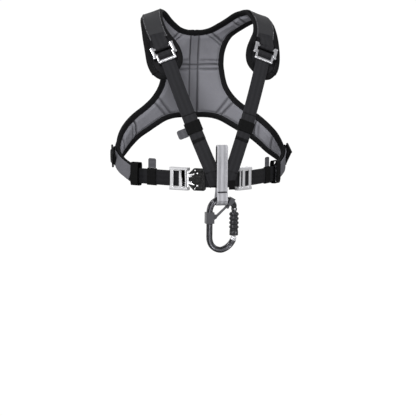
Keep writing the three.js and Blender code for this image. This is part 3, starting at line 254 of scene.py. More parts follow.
def cloth_material(name, colour, pitch=0.9, rough=0.9, contrast=0.12, sheen=0.2, blotch=0.1, specular=0.1):
    """Plain woven cloth with slightly uneven colour."""
    s = Shader(name, colour, rough, sheen=sheen, specular=specular)
    weave = s.math("ADD", s.wave(pitch, "X", distortion=0.4), s.wave(pitch, "Y", distortion=0.4))
    s.add_height(weave, 0.5)
    s.add_height(s.noise(2.2, 3.0), 0.8)
    s.add_shade(s.math("MULTIPLY", weave, 0.5), 1 - contrast, 1 + contrast)
    s.add_shade(s.noise(22, 4.0), 1 - blotch, 1 + blotch)
    s.add_shade(s.noise(1.1, 2.0), 0.92, 1.08)
    # painted shade in the sewn channels, from the channel_shade layer of the mesh
    s.add_shade(s.attribute("channel_shade"), 1.0, 0.3)
    return s.done(0.3)


def metal_material(name, colour, rough, grain, metal, scratch, bump):
    """Drawn metal: a fine grain, faint scratches and cloudy gloss."""
    s = Shader(name, colour, rough, metal=metal)
    s.add_height(s.noise(grain, 2.0, stretch=(1, 1, 6)), 0.5)
    s.add_height(s.noise(3.0, 5.0), 0.3)
    s.vary_rough(s.noise(5.0, 4.0), rough * (1 - scratch), rough * (1 + scratch))
    s.add_shade(s.noise(8.0), 0.94, 1.06)
    return s.done(0.05, bump)


def plastic_material(name, colour, rough):
    """Moulded plastic with a fine spark-eroded texture."""
    s = Shader(name, colour, rough, specular=0.25)
    s.add_height(s.noise(0.35), 1.0)
    s.vary_rough(s.noise(6.0), rough * 0.85, rough * 1.2)
    s.add_shade(s.noise(4.0), 0.92, 1.08)
    return s.done(0.06)


LINING = cloth_material("lining_cloth", srgb(121, 121, 127), 1.1, 0.92, 0.08, 0.05, 0.06, 0.12)
PAD_CLOTH = cloth_material("pad_cloth", srgb(30, 30, 32), 1.2, 0.85, 0.2, 0.02)
WING_CLOTH = cloth_material("wing_cloth", srgb(96, 96, 101), 1.2, 0.85, 0.12, 0.04)
BINDING = webbing_material("binding_tape", srgb(15, 15, 17), 1.0, 0.8, 0.3, 0.0)
STRAP = webbing_material("strap_webbing", srgb(36, 36, 39), 1.3, 0.72, 0.22, 0.02)
BELT = webbing_material("belt_webbing", srgb(25, 25, 28), 1.3, 0.72, 0.22, 0.02)
COVER = cloth_material("strap_cover", srgb(50, 50, 52), 1.3, 0.8, 0.22, 0.04)
ELASTIC = webbing_material("elastic_band", srgb(10, 10, 11), 0.8, 0.85, 0.4, 0.0)
TAB = webbing_material("tab_webbing", srgb(80, 80, 84), 1.1, 0.8, 0.15, 0.04)
LOOP = webbing_material("loop_webbing", srgb(169, 169, 174), 1.3, 0.75, 0.2, 0.05, 0.16)
THREAD = cloth_material("sewing_thread", srgb(140, 140, 144), 0.5, 0.8, 0.1, 0.05)
DARK_THREAD = cloth_material("dark_thread", srgb(62, 62, 66), 0.5, 0.8, 0.1, 0.02)
STEEL = metal_material("polished_steel", srgb(208, 208, 212), 0.3, 0.6, 0.9, 0.25, 0.3)
PLASTIC = plastic_material("moulded_plastic", srgb(11, 11, 12), 0.38)
ALLOY = metal_material("bright_alloy", srgb(232, 232, 235), 0.36, 0.6, 0.7, 0.25, 0.3)
GLOSS = metal_material("black_anodised", srgb(46, 46, 49), 0.16, 0.9, 0.5, 0.3, 0.1)
GATE = metal_material("black_gate", srgb(46, 46, 49), 0.18, 0.9, 0.4, 0.3, 0.12)
CAPTIVE = plastic_material("captive_plastic", srgb(72, 72, 76), 0.34)
# painted reflection: a lighter grey for the recess floor of the bow, which is black all over
RECESS_REFLECTION = metal_material("recess_painted_reflection", srgb(100, 100, 105), 0.3, 0.9, 0.8, 0.3, 0.08)
# painted shade: a dark webbing for the inside of the loop's eye
LOOP_PAINTED_SHADE = webbing_material("loop_inside_painted_shade", srgb(38, 38, 41), 1.3, 0.8, 0.2, 0.0)


# ---- mesh helpers ----
def add_object(name, mesh, body):
    made = bpy.data.objects.new(name, mesh)
    bpy.context.scene.collection.objects.link(made)
    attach(made, body)
    return made


def mesh_object(name, points, faces, materials, uvs, body="harness", slots=None):
    mesh = bpy.data.meshes.new(name)
    mesh.from_pydata([tuple(p * MM) for p in points], [], faces)
    for material in materials:
        mesh.materials.append(material)
    if slots is not None:
        mesh.polygons.foreach_set("material_index", slots)
    layer = mesh.uv_layers.new(name="UVMap")
    corners = np.array([uvs[i] for face in faces for i in face], dtype=np.float32) * MM
    layer.data.foreach_set("uv", corners.ravel())
    mesh.polygons.foreach_set("use_smooth", [True] * len(mesh.polygons))
    mesh.validate()
    bm = bmesh.new()
    bm.from_mesh(mesh)
    bmesh.ops.recalc_face_normals(bm, faces=bm.faces)
    bm.to_mesh(mesh)
    bm.free()
    return add_object(name, mesh, body)


def spline(points, per, closed=False):
    """Points on a Catmull-Rom curve through the given ones, per steps in each interval."""
    count = len(points)
    out = []
    spans = count if closed else count - 1
    for i in range(spans):
        p1, p2 = points[i], points[(i + 1) % count]
        p0 = points[i - 1] if closed or i > 0 else p1 * 2 - p2
        p3 = points[(i + 2) % count] if closed or i + 2 < count else p2 * 2 - p1
        for k in range(per):
            t = k / per
            out.append(((p1 * 2) + (p2 - p0) * t + (p0 * 2 - p1 * 5 + p2 * 4 - p3) * t * t
                        + (p1 * 3 - p0 - p2 * 3 + p3) * t ** 3) * 0.5)
    if not closed:
        out.append(points[-1].copy())
    return out


def lerp_list(values, per, closed=False):
    out = []
    spans = len(values) if closed else len(values) - 1
    for i in range(spans):
        for k in range(per):
            out.append(values[i].lerp(values[(i + 1) % len(values)], k / per).normalized())
    if not closed:
        out.append(values[-1].copy())
    return out


def ring_faces(start, rings, count, closed=False):
    """Faces that join rings of count points each; start is the number of their first point."""
    faces = []
    for i in range(rings if closed else rings - 1):
        near, far = start + i * count, start + (i + 1) % rings * count
        for j in range(count):
            k = (j + 1) % count
            faces.append((near + j, near + k, far + k, far + j))
    if not closed:
        faces.append(tuple(range(start, start + count))[::-1])
        faces.append(tuple(start + (rings - 1) * count + j for j in range(count)))
    return faces


def tube(name, rings, uvs, materials, body="harness", closed=False):
    """Rings of equal length joined into a closed surface."""
    points = [p for ring in rings for p in ring]
    faces = ring_faces(0, len(rings), len(rings[0]), closed)
    return mesh_object(name, points, faces, materials, uvs or [(0, 0)] * len(points), body)


def lengths(points):
    total = [0.0]
    for a, b in zip(points, points[1:]):
        total.append(total[-1] + (b - a).length)
    return total


STRAP_SECTION = 16  # points round the section of a strap
OTHER_FACE, INNER_FACE = 300, 200  # how far the texture is shifted under a strap, and inside a band


def strap(name, points, sides, width, wall, material, side=1, per=5, closed=False, crown=0.25):
    """Webbing along a path, mirrored to the left if side is -1; sides gives the way across it. The section has
    soft edges and a slight crown."""
    if side == -1:
        points, sides = to_side(points, -1), [mirrored(s) * -1 for s in sides]
    path = spline(points, per, closed)
    across = lerp_list(sides, per, closed)
    count = len(path)
    run = lengths(path)
    edge = min(wall * 0.5, 1.0)
    half = width / 2
    section = [(-half + edge, 0), (-half * 0.5, crown), (0, crown * 1.3), (half * 0.5, crown), (half - edge, 0),
               (half - edge * 0.3, -wall * 0.16), (half, -wall * 0.5), (half - edge * 0.3, -wall * 0.84),
               (half - edge, -wall), (half * 0.5, -wall), (0, -wall), (-half * 0.5, -wall), (-half + edge, -wall),
               (-half + edge * 0.3, -wall * 0.84), (-half, -wall * 0.5), (-half + edge * 0.3, -wall * 0.16)]
    rings, uvs = [], []
    for i, point in enumerate(path):
        before = path[i - 1] if closed or i > 0 else path[0]
        after = path[(i + 1) % count] if closed or i + 1 < count else path[-1]
        tangent = (after - before).normalized()
        out = across[i].cross(tangent).normalized()
        flank = tangent.cross(out)
        rings.append([point + flank * x + out * (h + wall / 2) for x, h in section])
        uvs.extend((run[i], x + (0 if h > -wall * 0.5 else OTHER_FACE)) for x, h in section)
    return tube(name, rings, uvs, [material], closed=closed)


STITCH_SIDES = 6
STITCH_RINGS = ((-0.5, 0.15), (-0.36, 0.85), (0, 1), (0.36, 0.85), (0.5, 0.15))  # shares of length and radius
STITCH_LIFT = 0.3  # how far a stitch's middle lies off the surface, as a share of its radius


def stitches(name, points, outs, material, pitch, length, radius, skip=0.0):
    """Single stitches along a run of points that lie on a surface."""
    run = lengths(points)
    verts, faces = [], []
    place = pitch / 2
    k = 0
    while place < run[-1] - length / 2:
        while run[k + 1] < place:
            k += 1
        t = (place - run[k]) / (run[k + 1] - run[k])
        centre = points[k].lerp(points[k + 1], t)
        out = outs[k].lerp(outs[k + 1], t).normalized()
        tangent = (points[k + 1] - points[k]).normalized()
        side = tangent.cross(out).normalized()
        if rng.random() >= skip:
            faces += ring_faces(len(verts), len(STITCH_RINGS), STITCH_SIDES)
            tilt = rng.uniform(-0.12, 0.12)
            for share, scale in STITCH_RINGS:
                middle = centre + (tangent + side * tilt) * share * length
                for a in range(STITCH_SIDES):
                    angle = math.tau * a / STITCH_SIDES
                    verts.append(middle + side * (math.cos(angle) * scale * radius)
                                 + out * ((math.sin(angle) * scale + STITCH_LIFT) * radius))
        place += pitch
    return mesh_object(name, verts, faces, [material], [(p.x, p.z) for p in verts])


FLAT_ANGLE, SHARP_ANGLE = math.radians(1.5), math.radians(24)  # below one edges go, above the other they bevel


def rounded_copy(node, material, width, body="harness", name=None):
    """A copy of a CAD piece with softened edges, which stands for it."""
    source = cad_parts[node]
    mesh = source.data.copy()
    mesh.name = f"{node}_soft"
    bm = bmesh.new()
    bm.from_mesh(mesh)
    bmesh.ops.remove_doubles(bm, verts=bm.verts, dist=2e-6)
    bmesh.ops.dissolve_limit(bm, angle_limit=FLAT_ANGLE, verts=bm.verts, edges=bm.edges)
    sharp = [e for e in bm.edges if len(e.link_faces) == 2 and e.calc_face_angle(0) > SHARP_ANGLE]
    bmesh.ops.bevel(bm, geom=sharp, offset=width * MM, segments=2, profile=0.5, affect="EDGES",
                    clamp_overlap=True)
    layer = bm.loops.layers.uv.new("UVMap")
    for face in bm.faces:
        face.smooth = True
        axis = max(range(3), key=lambda k: abs(face.normal[k]))
        a, b = [(1, 2), (0, 2), (0, 1)][axis]
        for loop in face.loops:
            loop[layer].uv = (loop.vert.co[a], loop.vert.co[b])
    bm.to_mesh(mesh)
    bm.free()
    mesh.materials.clear()
    mesh.materials.append(material)
    for polygon in mesh.polygons:
        polygon.material_index = 0
    made = add_object(name or f"{node}_soft", mesh, body)
    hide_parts(node)
    made.modifiers.new("normals", "WEIGHTED_NORMAL").keep_sharp = False
    return made


# ---- the shape of the harness, as in the CAD ----
HALF_WIDTH, BACK_DEPTH, DROP, FRONT_DEPTH, BELT_NOSE = 170, 89, 316, 140, 90
PAD_BACKING, PAD_LINING, PAD_FILL, EDGE_FLAT = 2.5, 2.5, 4.5, 12
WEB_WIDTH, WEB_WALL, BELT_WIDTH, BELT_WALL, LOOP_WIDTH, LOOP_WALL = 28, 1.8, 30, 2.0, 20, 2.2
KEEPER_WALL, GAP = 1.2, 0.3
NECK_ROW, BOTTOM_ROW, TIP_BULGE, TIP_ROUNDING = 16, 23, 4, 9
WING_ROW = 33  # from this row out the wing is covered in grey cloth

YOKE_ROWS = [
    (0.688, -0.955, -0.392, 0.541, -1.0, -0.389),
    (0.741, -0.91, -0.354, 0.459, -1.0, -0.351),
    (0.771, -0.843, -0.307, 0.4, -0.955, -0.307),
    (0.782, -0.787, -0.259, 0.388, -0.888, -0.259),
    (0.788, -0.697, -0.209, 0.412, -0.798, -0.209),
    (0.791, -0.584, -0.158, 0.465, -0.685, -0.158),
    (0.788, -0.472, -0.114, 0.518, -0.562, -0.111),
    (0.782, -0.315, -0.07, 0.544, -0.404, -0.06),
    (0.765, -0.135, -0.038, 0.541, -0.202, -0.016),
    (0.729, 0.022, -0.024, 0.512, 0.022, 0.018),
    (0.671, 0.247, -0.035, 0.471, 0.18, 0.018),
    (0.606, 0.449, -0.06, 0.412, 0.348, 0.003),
    (0.541, 0.607, -0.089, 0.335, 0.528, -0.035),
    (0.482, 0.719, -0.117, 0.253, 0.674, -0.07),
    (0.435, 0.787, -0.146, 0.176, 0.775, -0.098),
    (0.394, 0.843, -0.19, 0.088, 0.836, -0.114),
    (0.371, 0.888, -0.234, 0, 0.854, -0.117),
    (0.362, 0.91, -0.263, 0, 0.876, -0.156),
    (0.359, 0.933, -0.301, 0, 0.944, -0.25),
    (0.362, 0.955, -0.339, 0, 0.978, -0.339),
    (0.371, 0.955, -0.373, 0, 0.989, -0.42),
    (0.388, 0.955, -0.421, 0, 1.0, -0.52),
    (0.412, 0.944, -0.465, 0, 1.0, -0.623),
    (0.453, 0.921, -0.506, 0, 1.0, -0.661),
    (0.512, 0.888, -0.547, 0.118, 1.0, -0.663),
    (0.576, 0.854, -0.579, 0.229, 0.989, -0.668),
    (0.647, 0.809, -0.608, 0.335, 0.966, -0.684),
    (0.718, 0.753, -0.633, 0.441, 0.921, -0.715),
    (0.788, 0.685, -0.661, 0.559, 0.865, -0.753),
    (0.853, 0.607, -0.693, 0.676, 0.787, -0.791),
    (0.912, 0.506, -0.728, 0.782, 0.685, -0.839),
    (0.959, 0.382, -0.766, 0.871, 0.562, -0.886),
    (0.991, 0.258, -0.81, 0.941, 0.404, -0.918),
    (1.003, 0.146, -0.848, 0.988, 0.225, -0.943),
    (0.988, 0.034, -0.883, 0.988, 0.056, -0.978),
    (0.953, -0.067, -0.911, 0.947, -0.079, -1.013),
    (0.912, -0.157, -0.93, 0.894, -0.18, -1.038),
    (0.871, -0.236, -0.943, 0.859, -0.247, -1.052),
    (0.835, -0.292, -0.953, 0.835, -0.292, -1.062),
]
arm_points = [v(r[0] * HALF_WIDTH, r[1] * BACK_DEPTH, r[2] * DROP) for r in YOKE_ROWS]
inner_points = [v(r[3] * HALF_WIDTH, r[4] * BACK_DEPTH, r[5] * DROP) for r in YOKE_ROWS]
PER, COLUMNS = 8, 44  # steps from row to row, and steps across
BIND_END = 36 * PER + 9  # the step at which the bindings end, under the wing bands
SAG_FROM, SAG_TO, SAG = 4, 15, 3.2
# worn pads settle a little on top of the shoulders
for i in range(SAG_FROM + 1, SAG_TO):
    sag = SAG * math.sin(math.pi * (i - SAG_FROM) / (SAG_TO - SAG_FROM))
    arm_points[i].z -= sag
    inner_points[i].z -= sag
arm_fine = spline(arm_points, PER)
inner_fine = spline(inner_points, PER)
for i in range(NECK_ROW * PER, BOTTOM_ROW * PER + 1):
    inner_fine[i].x = 0
ROWS = len(arm_fine)
tip_down = (arm_points[0] - arm_points[1]).normalized()


def grid_point(i, share):
    point = arm_fine[i].lerp(inner_fine[i], share)
    if i < PER:
        centred = 2 * share - 1
        point = point + tip_down * TIP_BULGE * (1 - centred * centred) * (1 - i / PER)
        # the corners of the tip are rounded off
        point = point - tip_down * TIP_ROUNDING * abs(centred) ** 5 * (1 - i / PER) ** 2
    return point


grid = [[grid_point(i, j / COLUMNS) for j in range(COLUMNS + 1)] for i in range(ROWS)]
ON_MIDDLE = 0.3  # what is nearer than this to the middle plane counts as on it


def grid_normal(i, j):
    """The way out of the yoke, straight to the back or front along the middle."""
    a, b = grid[max(i - 1, 0)][j], grid[min(i + 1, ROWS - 1)][j]
    c, d = grid[i][max(j - 1, 0)], grid[i][min(j + 1, COLUMNS)]
    normal = (b - a).cross(d - c)
    if grid[i][j].x < ON_MIDDLE:
        normal.x = 0
    return normal.normalized()


normals = [[grid_normal(i, j) for j in range(COLUMNS + 1)] for i in range(ROWS)]
places = np.array([tuple(p) for row in grid for p in row])


def distance_map(*runs):
    """How far each place of the grid is from the nearest of some lines."""
    best = np.full(len(places), np.inf)
    for run in runs:
        for a, b in zip(run, run[1:]):
            a, ab = np.array(a), np.array(b) - np.array(a)
            t = np.clip(((places - a) @ ab) / max(ab @ ab, 1e-9), 0, 1)
            best = np.minimum(best, np.linalg.norm(places - (a + t[:, None] * ab), axis=1))
    return best.reshape(ROWS, COLUMNS + 1)


def bell(distance, width):
    return np.exp(-(distance / width) ** 2)


inner_edge = [row[COLUMNS] for row in grid]
edge_distance = distance_map([row[0] for row in grid], grid[0], inner_edge[:NECK_ROW * PER + 1],
                             inner_edge[BOTTOM_ROW * PER:])
# sewn channels, as (row, share) at both ends, with their width and how much painted shade lies along them
SEAMS = [
    ((10.8, 0), (10.9, 1), 2.4, 0.8), ((11.5, 0), (11.7, 1), 2.0, 0.5),
    ((15.4, 0), (14.1, 1), 2.4, 0.9), ((15.9, 0), (14.9, 1), 2.0, 0.3),
    ((18.7, 0), (18.9, 1), 2.6, 1.0), ((19.55, 0), (19.2, 1), 2.4, 0.7), ((18.15, 0), (18.64, 1), 1.8, 0.3),
    ((23.3, 0), (25.2, 1), 2.4, 0.8), ((24.2, 0), (25.8, 1), 2.4, 0.8),
    ((27.9, 0), (29.6, 1), 2.6, 1.25), ((28.4, 0), (30.1, 1), 2.0, 0.3),
    ((30.7, 0), (31.6, 1), 2.6, 0.9), ((34, 0), (34, 1), 2.4, 0.6),
]


def grid_at(row, share):
    i, j = row * PER, share * COLUMNS
    a, b = min(int(i), ROWS - 2), min(int(j), COLUMNS - 1)
    return grid[a][b].lerp(grid[a + 1][b], i - a).lerp(grid[a][b + 1].lerp(grid[a + 1][b + 1], i - a), j - b)


SHADE_REACH = 2.0  # how far to the side of a channel's stitch row the painted shade reaches
channel_map = np.zeros((ROWS, COLUMNS + 1))
channel_shade_map = np.zeros((ROWS, COLUMNS + 1))
for (row_a, share_a), (row_b, share_b), width, dark in SEAMS:
    far = distance_map([grid_at(mix(row_a, row_b, t / 16), mix(share_a, share_b, t / 16)) for t in range(17)])
    channel_map = np.maximum(channel_map, bell(far, width))
    channel_shade_map = np.maximum(channel_shade_map, bell(far, SHADE_REACH) * dark)
# a flat strip runs down the middle of the back, with a tuck in it; painted shade darkens the tuck and the strip's edges
SPINE_HALF, TUCK_HALF = 8.5, 4.5
for i in range(NECK_ROW * PER, BOTTOM_ROW * PER + PER + 1):
    for j in range(COLUMNS + 1):
        x = grid[i][j].x
        past = x - SPINE_HALF
        hollow = (1 - smooth((past + 1.0) / 3.2)) * 0.8
        channel_map[i][j] = max(channel_map[i][j], hollow, bell(past, 1.3))
        tuck = (1 - smooth((x - TUCK_HALF) / 1.5)) * 0.24
        channel_shade_map[i][j] = max(channel_shade_map[i][j], tuck, bell(past, SHADE_REACH))
# no painted channel shade under the binding
channel_shade_map *= np.clip((edge_distance - 7) / 2, 0, 1)


def lining_depth(i, j):
    """How far the lining stands in from the middle surface: a puffed panel between sewn channels."""
    d = edge_distance[i][j]
    puff = smooth((d - 8.0) / 7) * PAD_FILL
    if i < 2 * PER:
        puff *= smooth((i - PER) / PER)
    # the padding runs out at the wing's end
    puff *= smooth((ROWS - 1 - i) / PER - 0.5)
    x = grid[i][j].x
    wrinkle = 0.25 * math.sin(grid[i][j].z * 0.21 + x * 0.13) * math.sin(x * 0.17 + i * 0.07)
    return PAD_LINING + puff * (1 - channel_map[i][j]) + wrinkle * smooth((d - 8) / 8)


OUTSIDE, INSIDE = 0, 1
LINING_SLOT, PAD_SLOT, WING_SLOT = 0, 1, 2


def yoke():
    """The padded sheet, with a point outside and one inside at each place of the grid."""
    points, faces, uvs, slots = [], [], [], []
    across = [[(grid[i][j] - grid[i][0]).length for j in range(COLUMNS + 1)] for i in range(ROWS)]
    down = lengths([grid[i][COLUMNS // 2] for i in range(ROWS)])
    for side in (1, -1):
        start = len(points)
        for i in range(ROWS):
            for j in range(COLUMNS + 1):
                normal = normals[i][j]
                puff = 0.9 * smooth((edge_distance[i][j] - 9) / 8)
                for place in (grid[i][j] + normal * (PAD_BACKING + puff), grid[i][j] - normal * lining_depth(i, j)):
                    points.append(v(place.x * side, place.y, place.z))
                    uvs.append((across[i][j] * side, down[i]))

        def at(i, j, face):
            return start + 2 * (i * (COLUMNS + 1) + j) + face

        def quad(a, b, c, d, slot):
            faces.append((a, b, c, d) if side == 1 else (a, d, c, b))
            slots.append(slot)

        def rim(a, b):
            quad(at(*a, OUTSIDE), at(*b, OUTSIDE), at(*b, INSIDE), at(*a, INSIDE), PAD_SLOT)

        for i in range(ROWS - 1):
            outer_slot = PAD_SLOT if i < WING_ROW * PER else WING_SLOT
            # inside the tip of the arm the binding covers the lining
            inner_slot = PAD_SLOT if i < PER else LINING_SLOT
            for j in range(COLUMNS):
                corners = (i, j), (i, j + 1), (i + 1, j + 1), (i + 1, j)
                quad(*(at(*place, OUTSIDE) for place in corners), outer_slot)
                quad(*(at(*corners[k], INSIDE) for k in (0, 3, 2, 1)), inner_slot)
            rim((i, 0), (i + 1, 0))
            if i < NECK_ROW * PER or i >= BOTTOM_ROW * PER:
                rim((i + 1, COLUMNS), (i, COLUMNS))
        for j in range(COLUMNS):
            rim((0, j + 1), (0, j))
            rim((ROWS - 1, j), (ROWS - 1, j + 1))
    made = mesh_object("yoke_pad", points, faces, [LINING, PAD_CLOTH, WING_CLOTH], uvs, slots=slots)
    # the lining gets the painted channel shade as a layer of the mesh
    channel_shade = made.data.attributes.new("channel_shade", "FLOAT", "POINT")
    shades = [value for i in range(ROWS) for j in range(COLUMNS + 1) for value in (0.0, channel_shade_map[i][j])]
    channel_shade.data.foreach_set("value", (shades * 2)[:len(made.data.vertices)])
    bm = bmesh.new()
    bm.from_mesh(made.data)
    # the halves are welded along the middle
    bmesh.ops.remove_doubles(bm, verts=[w for w in bm.verts if abs(w.co.x) < 0.2 * MM], dist=0.3 * MM)
    bmesh.ops.recalc_face_normals(bm, faces=bm.faces)
    bm.to_mesh(made.data)
    bm.free()
    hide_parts("back_yoke")


yoke()


# ---- binding ----
def edge_places(kind):
    """Places along the right half of an edge, from the wing to the middle."""
    if kind == "lower":
        return [(i, COLUMNS) for i in range(BIND_END, BOTTOM_ROW * PER - 1, -1)]
    return ([(i, 0) for i in range(BIND_END, -1, -1)] + [(0, j) for j in range(1, COLUMNS)]
            + [(i, COLUMNS) for i in range(NECK_ROW * PER + 1)])


def inward_at(i, j):
    """The way from a place on the edge to the inside of the yoke."""
    if i <= PER and 0 < j < COLUMNS:
        inner = grid[i + 2 * PER][j]
    elif j == COLUMNS and NECK_ROW * PER - 2 <= i <= NECK_ROW * PER:
        inner = grid[i + 3 * PER][j]
    elif j == COLUMNS and BOTTOM_ROW * PER <= i <= BOTTOM_ROW * PER + 2:
        inner = grid[i - 3 * PER][j]
    else:
        inner = grid[i][4 if j == 0 else COLUMNS - 4]
    return (inner - grid[i][j]).normalized()


BINDING_FACE = [(9.4, 2.8), (8.2, 3.3), (5.0, 3.8), (2.0, 4.0), (-0.4, 3.6), (-1.9, 2.3)]
# in from the edge and out from the middle surface: one face, the fold, the other face and the inside
BINDING_SECTION = (BINDING_FACE + [(-2.5, 0)] + [(a, -h) for a, h in BINDING_FACE[::-1]]
                   + [(9.0, -2.0), (0.5, -2.2), (0.5, 2.2), (9.0, 2.0)])
SEAM_IN, SEAM_OUT = 7.4, 3.35


def binding(name, kind, node):
    rows = [(grid[i][j], normals[i][j], inward_at(i, j)) for i, j in edge_places(kind)]
    rows += [tuple(mirrored(p) for p in row) for row in rows[:-1]][::-1]
    count = len(rows)
    # the way in is made square to the edge and evened out along it
    ways = []
    for k, (point, normal, inward) in enumerate(rows):
        tangent = (rows[min(k + 1, count - 1)][0] - rows[max(k - 1, 0)][0]).normalized()
        way = normal.cross(tangent)
        if way.dot(inward) < 0:
            way.negate()
        ways.append(way.normalized())
    for _ in range(6):
        ways = [(ways[max(k - 1, 0)] + ways[k] * 2 + ways[min(k + 1, count - 1)]).normalized() for k in range(count)]
    around = lengths([v(a, h, 0) for a, h in BINDING_SECTION])
    rings, uvs = [], []
    run = lengths([row[0] for row in rows])
    for k, (point, normal, _) in enumerate(rows):
        pucker = 0.18 * math.sin(run[k] * 0.9) + 0.12 * math.sin(run[k] * 0.37 + 1)
        rings.append([point + ways[k] * a + normal * (h + math.copysign(pucker, h) * (0 < a < 9))
                      for a, h in BINDING_SECTION])
        uvs.extend((run[k], q) for q in around)
    made = tube(name, rings, uvs, [BINDING])
    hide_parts(node)
    for face in (1, -1):
        outs = [normal * face for _, normal, _ in rows]
        line = [row[0] + way * SEAM_IN + out * SEAM_OUT for row, way, out in zip(rows, ways, outs)]
        stitches(f"{name}_seam_{'out' if face == 1 else 'in'}", line, outs, DARK_THREAD, 3.6, 2.5, 0.28)


binding("upper_binding", "upper", "binding_upper")
binding("lower_binding", "lower", "binding_lower")


# ---- frames for the fittings, as in the CAD ----
SEAT_ROW = 3  # of the shoulder buckles


def cad_row(i):
    """Four places across the arm at a row, evenly between the rims, as the CAD divides it."""
    arm, inner = arm_points[i], inner_points[i]
    width = (arm - inner).length
    rim = min(EDGE_FLAT, width * 0.3) + min(6, width * 0.12)
    return [arm.lerp(inner, mix(rim, width - rim, k / 3) / width) for k in range(4)]


class Place:
    """A frame on the part: origin, the way across, the way along and the way out."""

    def __init__(self, origin, across, along, out):
        self.origin, self.x, self.y, self.out = origin, across, along, out

    def at(self, x, y, z):
        return self.origin + self.x * x + self.y * y + self.out * z


def frame_at(origin, down, hint):
    y = down.normalized()
    out = (hint - y * hint.dot(y)).normalized()
    return Place(origin, y.cross(out).normalized(), y, out)


above, across, below = (cad_row(SEAT_ROW + k) for k in (-1, 0, 1))
seat = arm_points[SEAT_ROW].lerp(inner_points[SEAT_ROW], 0.5)
seat_normal = (below[2] - above[2]).cross(across[3] - across[1]).normalized()
BAR_BELOW = TOP_ABOVE = 13
STEEL_BAR = 4
buckle = frame_at(seat + seat_normal * (PAD_BACKING + 8), v(-0.33, -0.4, -0.86), seat_normal)
wrap = STEEL_BAR / 2 + GAP + WEB_WALL / 2  # from a bar's middle to the middle of the webbing round it

wing_end = arm_points[-1].lerp(inner_points[-1], 0.5)
BELT_Z = wing_end.z
belt_slope = (wing_end.y + FRONT_DEPTH) / (math.hypot(wing_end.x, BELT_NOSE) - BELT_NOSE)


def belt_point(x):
    return v(x, -FRONT_DEPTH + belt_slope * (math.hypot(x, BELT_NOSE) - BELT_NOSE), BELT_Z)


def belt_out(x):
    return v(belt_slope * x / math.hypot(x, BELT_NOSE), -1, 0).normalized()


def belt_frame(a, b):
    start, end = belt_point(a), belt_point(b)
    x = (end - start).normalized()
    return Place(start.lerp(end, 0.5), x, UPRIGHT, x.cross(UPRIGHT))


def arc(cy, cz, radius, a, b, steps):
    return [(cy + radius * math.cos(math.radians(mix(a, b, k / steps))),
             cz + radius * math.sin(math.radians(mix(a, b, k / steps)))) for k in range(steps + 1)]


# ---- shoulder webbing, with its cover on the front of the pad ----
WEB_ROWS, WEB_SHARES = (12, 16, 19, 23, 28), (0.5, 0.6, 0.66, 0.62, 0.5)  # where the webbing's middle runs


def on_yoke(row, height):
    """The point at a height over the webbing's middle line on the yoke, and the way out there."""
    i = min(int(round(row * PER)), ROWS - 1)
    j = float(np.interp(row, WEB_ROWS, WEB_SHARES)) * COLUMNS
    low = min(int(j), COLUMNS - 1)
    point = grid[i][low].lerp(grid[i][low + 1], j - low)
    normal = normals[i][low].lerp(normals[i][low + 1], j - low).normalized()
    return point + normal * height, normal


def across_of(points, outs):
    sides = []
    for k, out in enumerate(outs):
        tangent = points[min(k + 1, len(points) - 1)] - points[max(k - 1, 0)]
        sides.append(out.cross(tangent).normalized())
    return sides


def shoulder_webbing(side, label):
    fold = [(-TOP_ABOVE - 11, -wrap), (-TOP_ABOVE - 5, -wrap), *arc(-TOP_ABOVE, 0, wrap, -90, 90, 6),
            (-TOP_ABOVE - 5, wrap)]
    rows = [5.6, 6.4, *range(7, 37), 36.8]
    run = [on_yoke(row, PAD_BACKING + mix(1.0, 2.0, smooth((row - 12) / 4)) + WEB_WALL / 2) for row in rows]
    middle, outs = zip(*run)
    points = [buckle.at(0, y, z) for y, z in fold] + list(middle)
    sides = [buckle.x] * len(fold) + across_of(middle, outs)
    per = 3
    made = strap(f"shoulder_strap_{label}", points, sides, WEB_WIDTH, WEB_WALL, STRAP, side, per)
    # out on the wing the webbing lies under the same grey cloth as the wing
    made.data.materials.append(WING_CLOTH)
    first = (len(fold) + rows.index(WING_ROW)) * per * STRAP_SECTION
    for polygon in made.data.polygons:
        if polygon.vertices[0] > first:
            polygon.material_index = 1
    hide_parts(f"shoulder_webbing_{label}")
    # the cover that is sewn over the webbing on the pad, open at its lower end
    cover = [on_yoke(row, PAD_BACKING + 2.5) for row in (4.9, 5.4, *range(6, 14))]
    middle, outs = (to_side(part, side) for part in zip(*cover))
    across = across_of(middle, outs)
    strap(f"strap_cover_{label}", middle, across, 36, 1.2, COVER, per=4, crown=0.9)
    for edge, name in ((1, "a"), (-1, "b")):
        line = [p + s * edge * 16.4 + o * 0.75 for p, s, o in zip(middle, across, outs)]
        stitches(f"cover_seam_{label}_{name}", spline(line, 4), lerp_list(outs, 4), THREAD, 4.2, 2.6, 0.36, 0.15)
    end = middle[0] + outs[0] * 0.9 - (middle[0] - middle[1]).normalized() * 2.4
    lip = [end + across[0] * t for t in (-15, -7, 0, 7, 15)]
    run = spline(lip, 3)
    stitches(f"cover_end_{label}", run, [outs[0]] * len(run), THREAD, 3.4, 2.4, 0.34)


pair(shoulder_webbing)

# ---- cheeks and foot of the shoulder buckles ----
EASING = ((1.8, 0), (0.5, 0.3), (0, 1))  # how a plate's edge is softened: shares in from outline and face


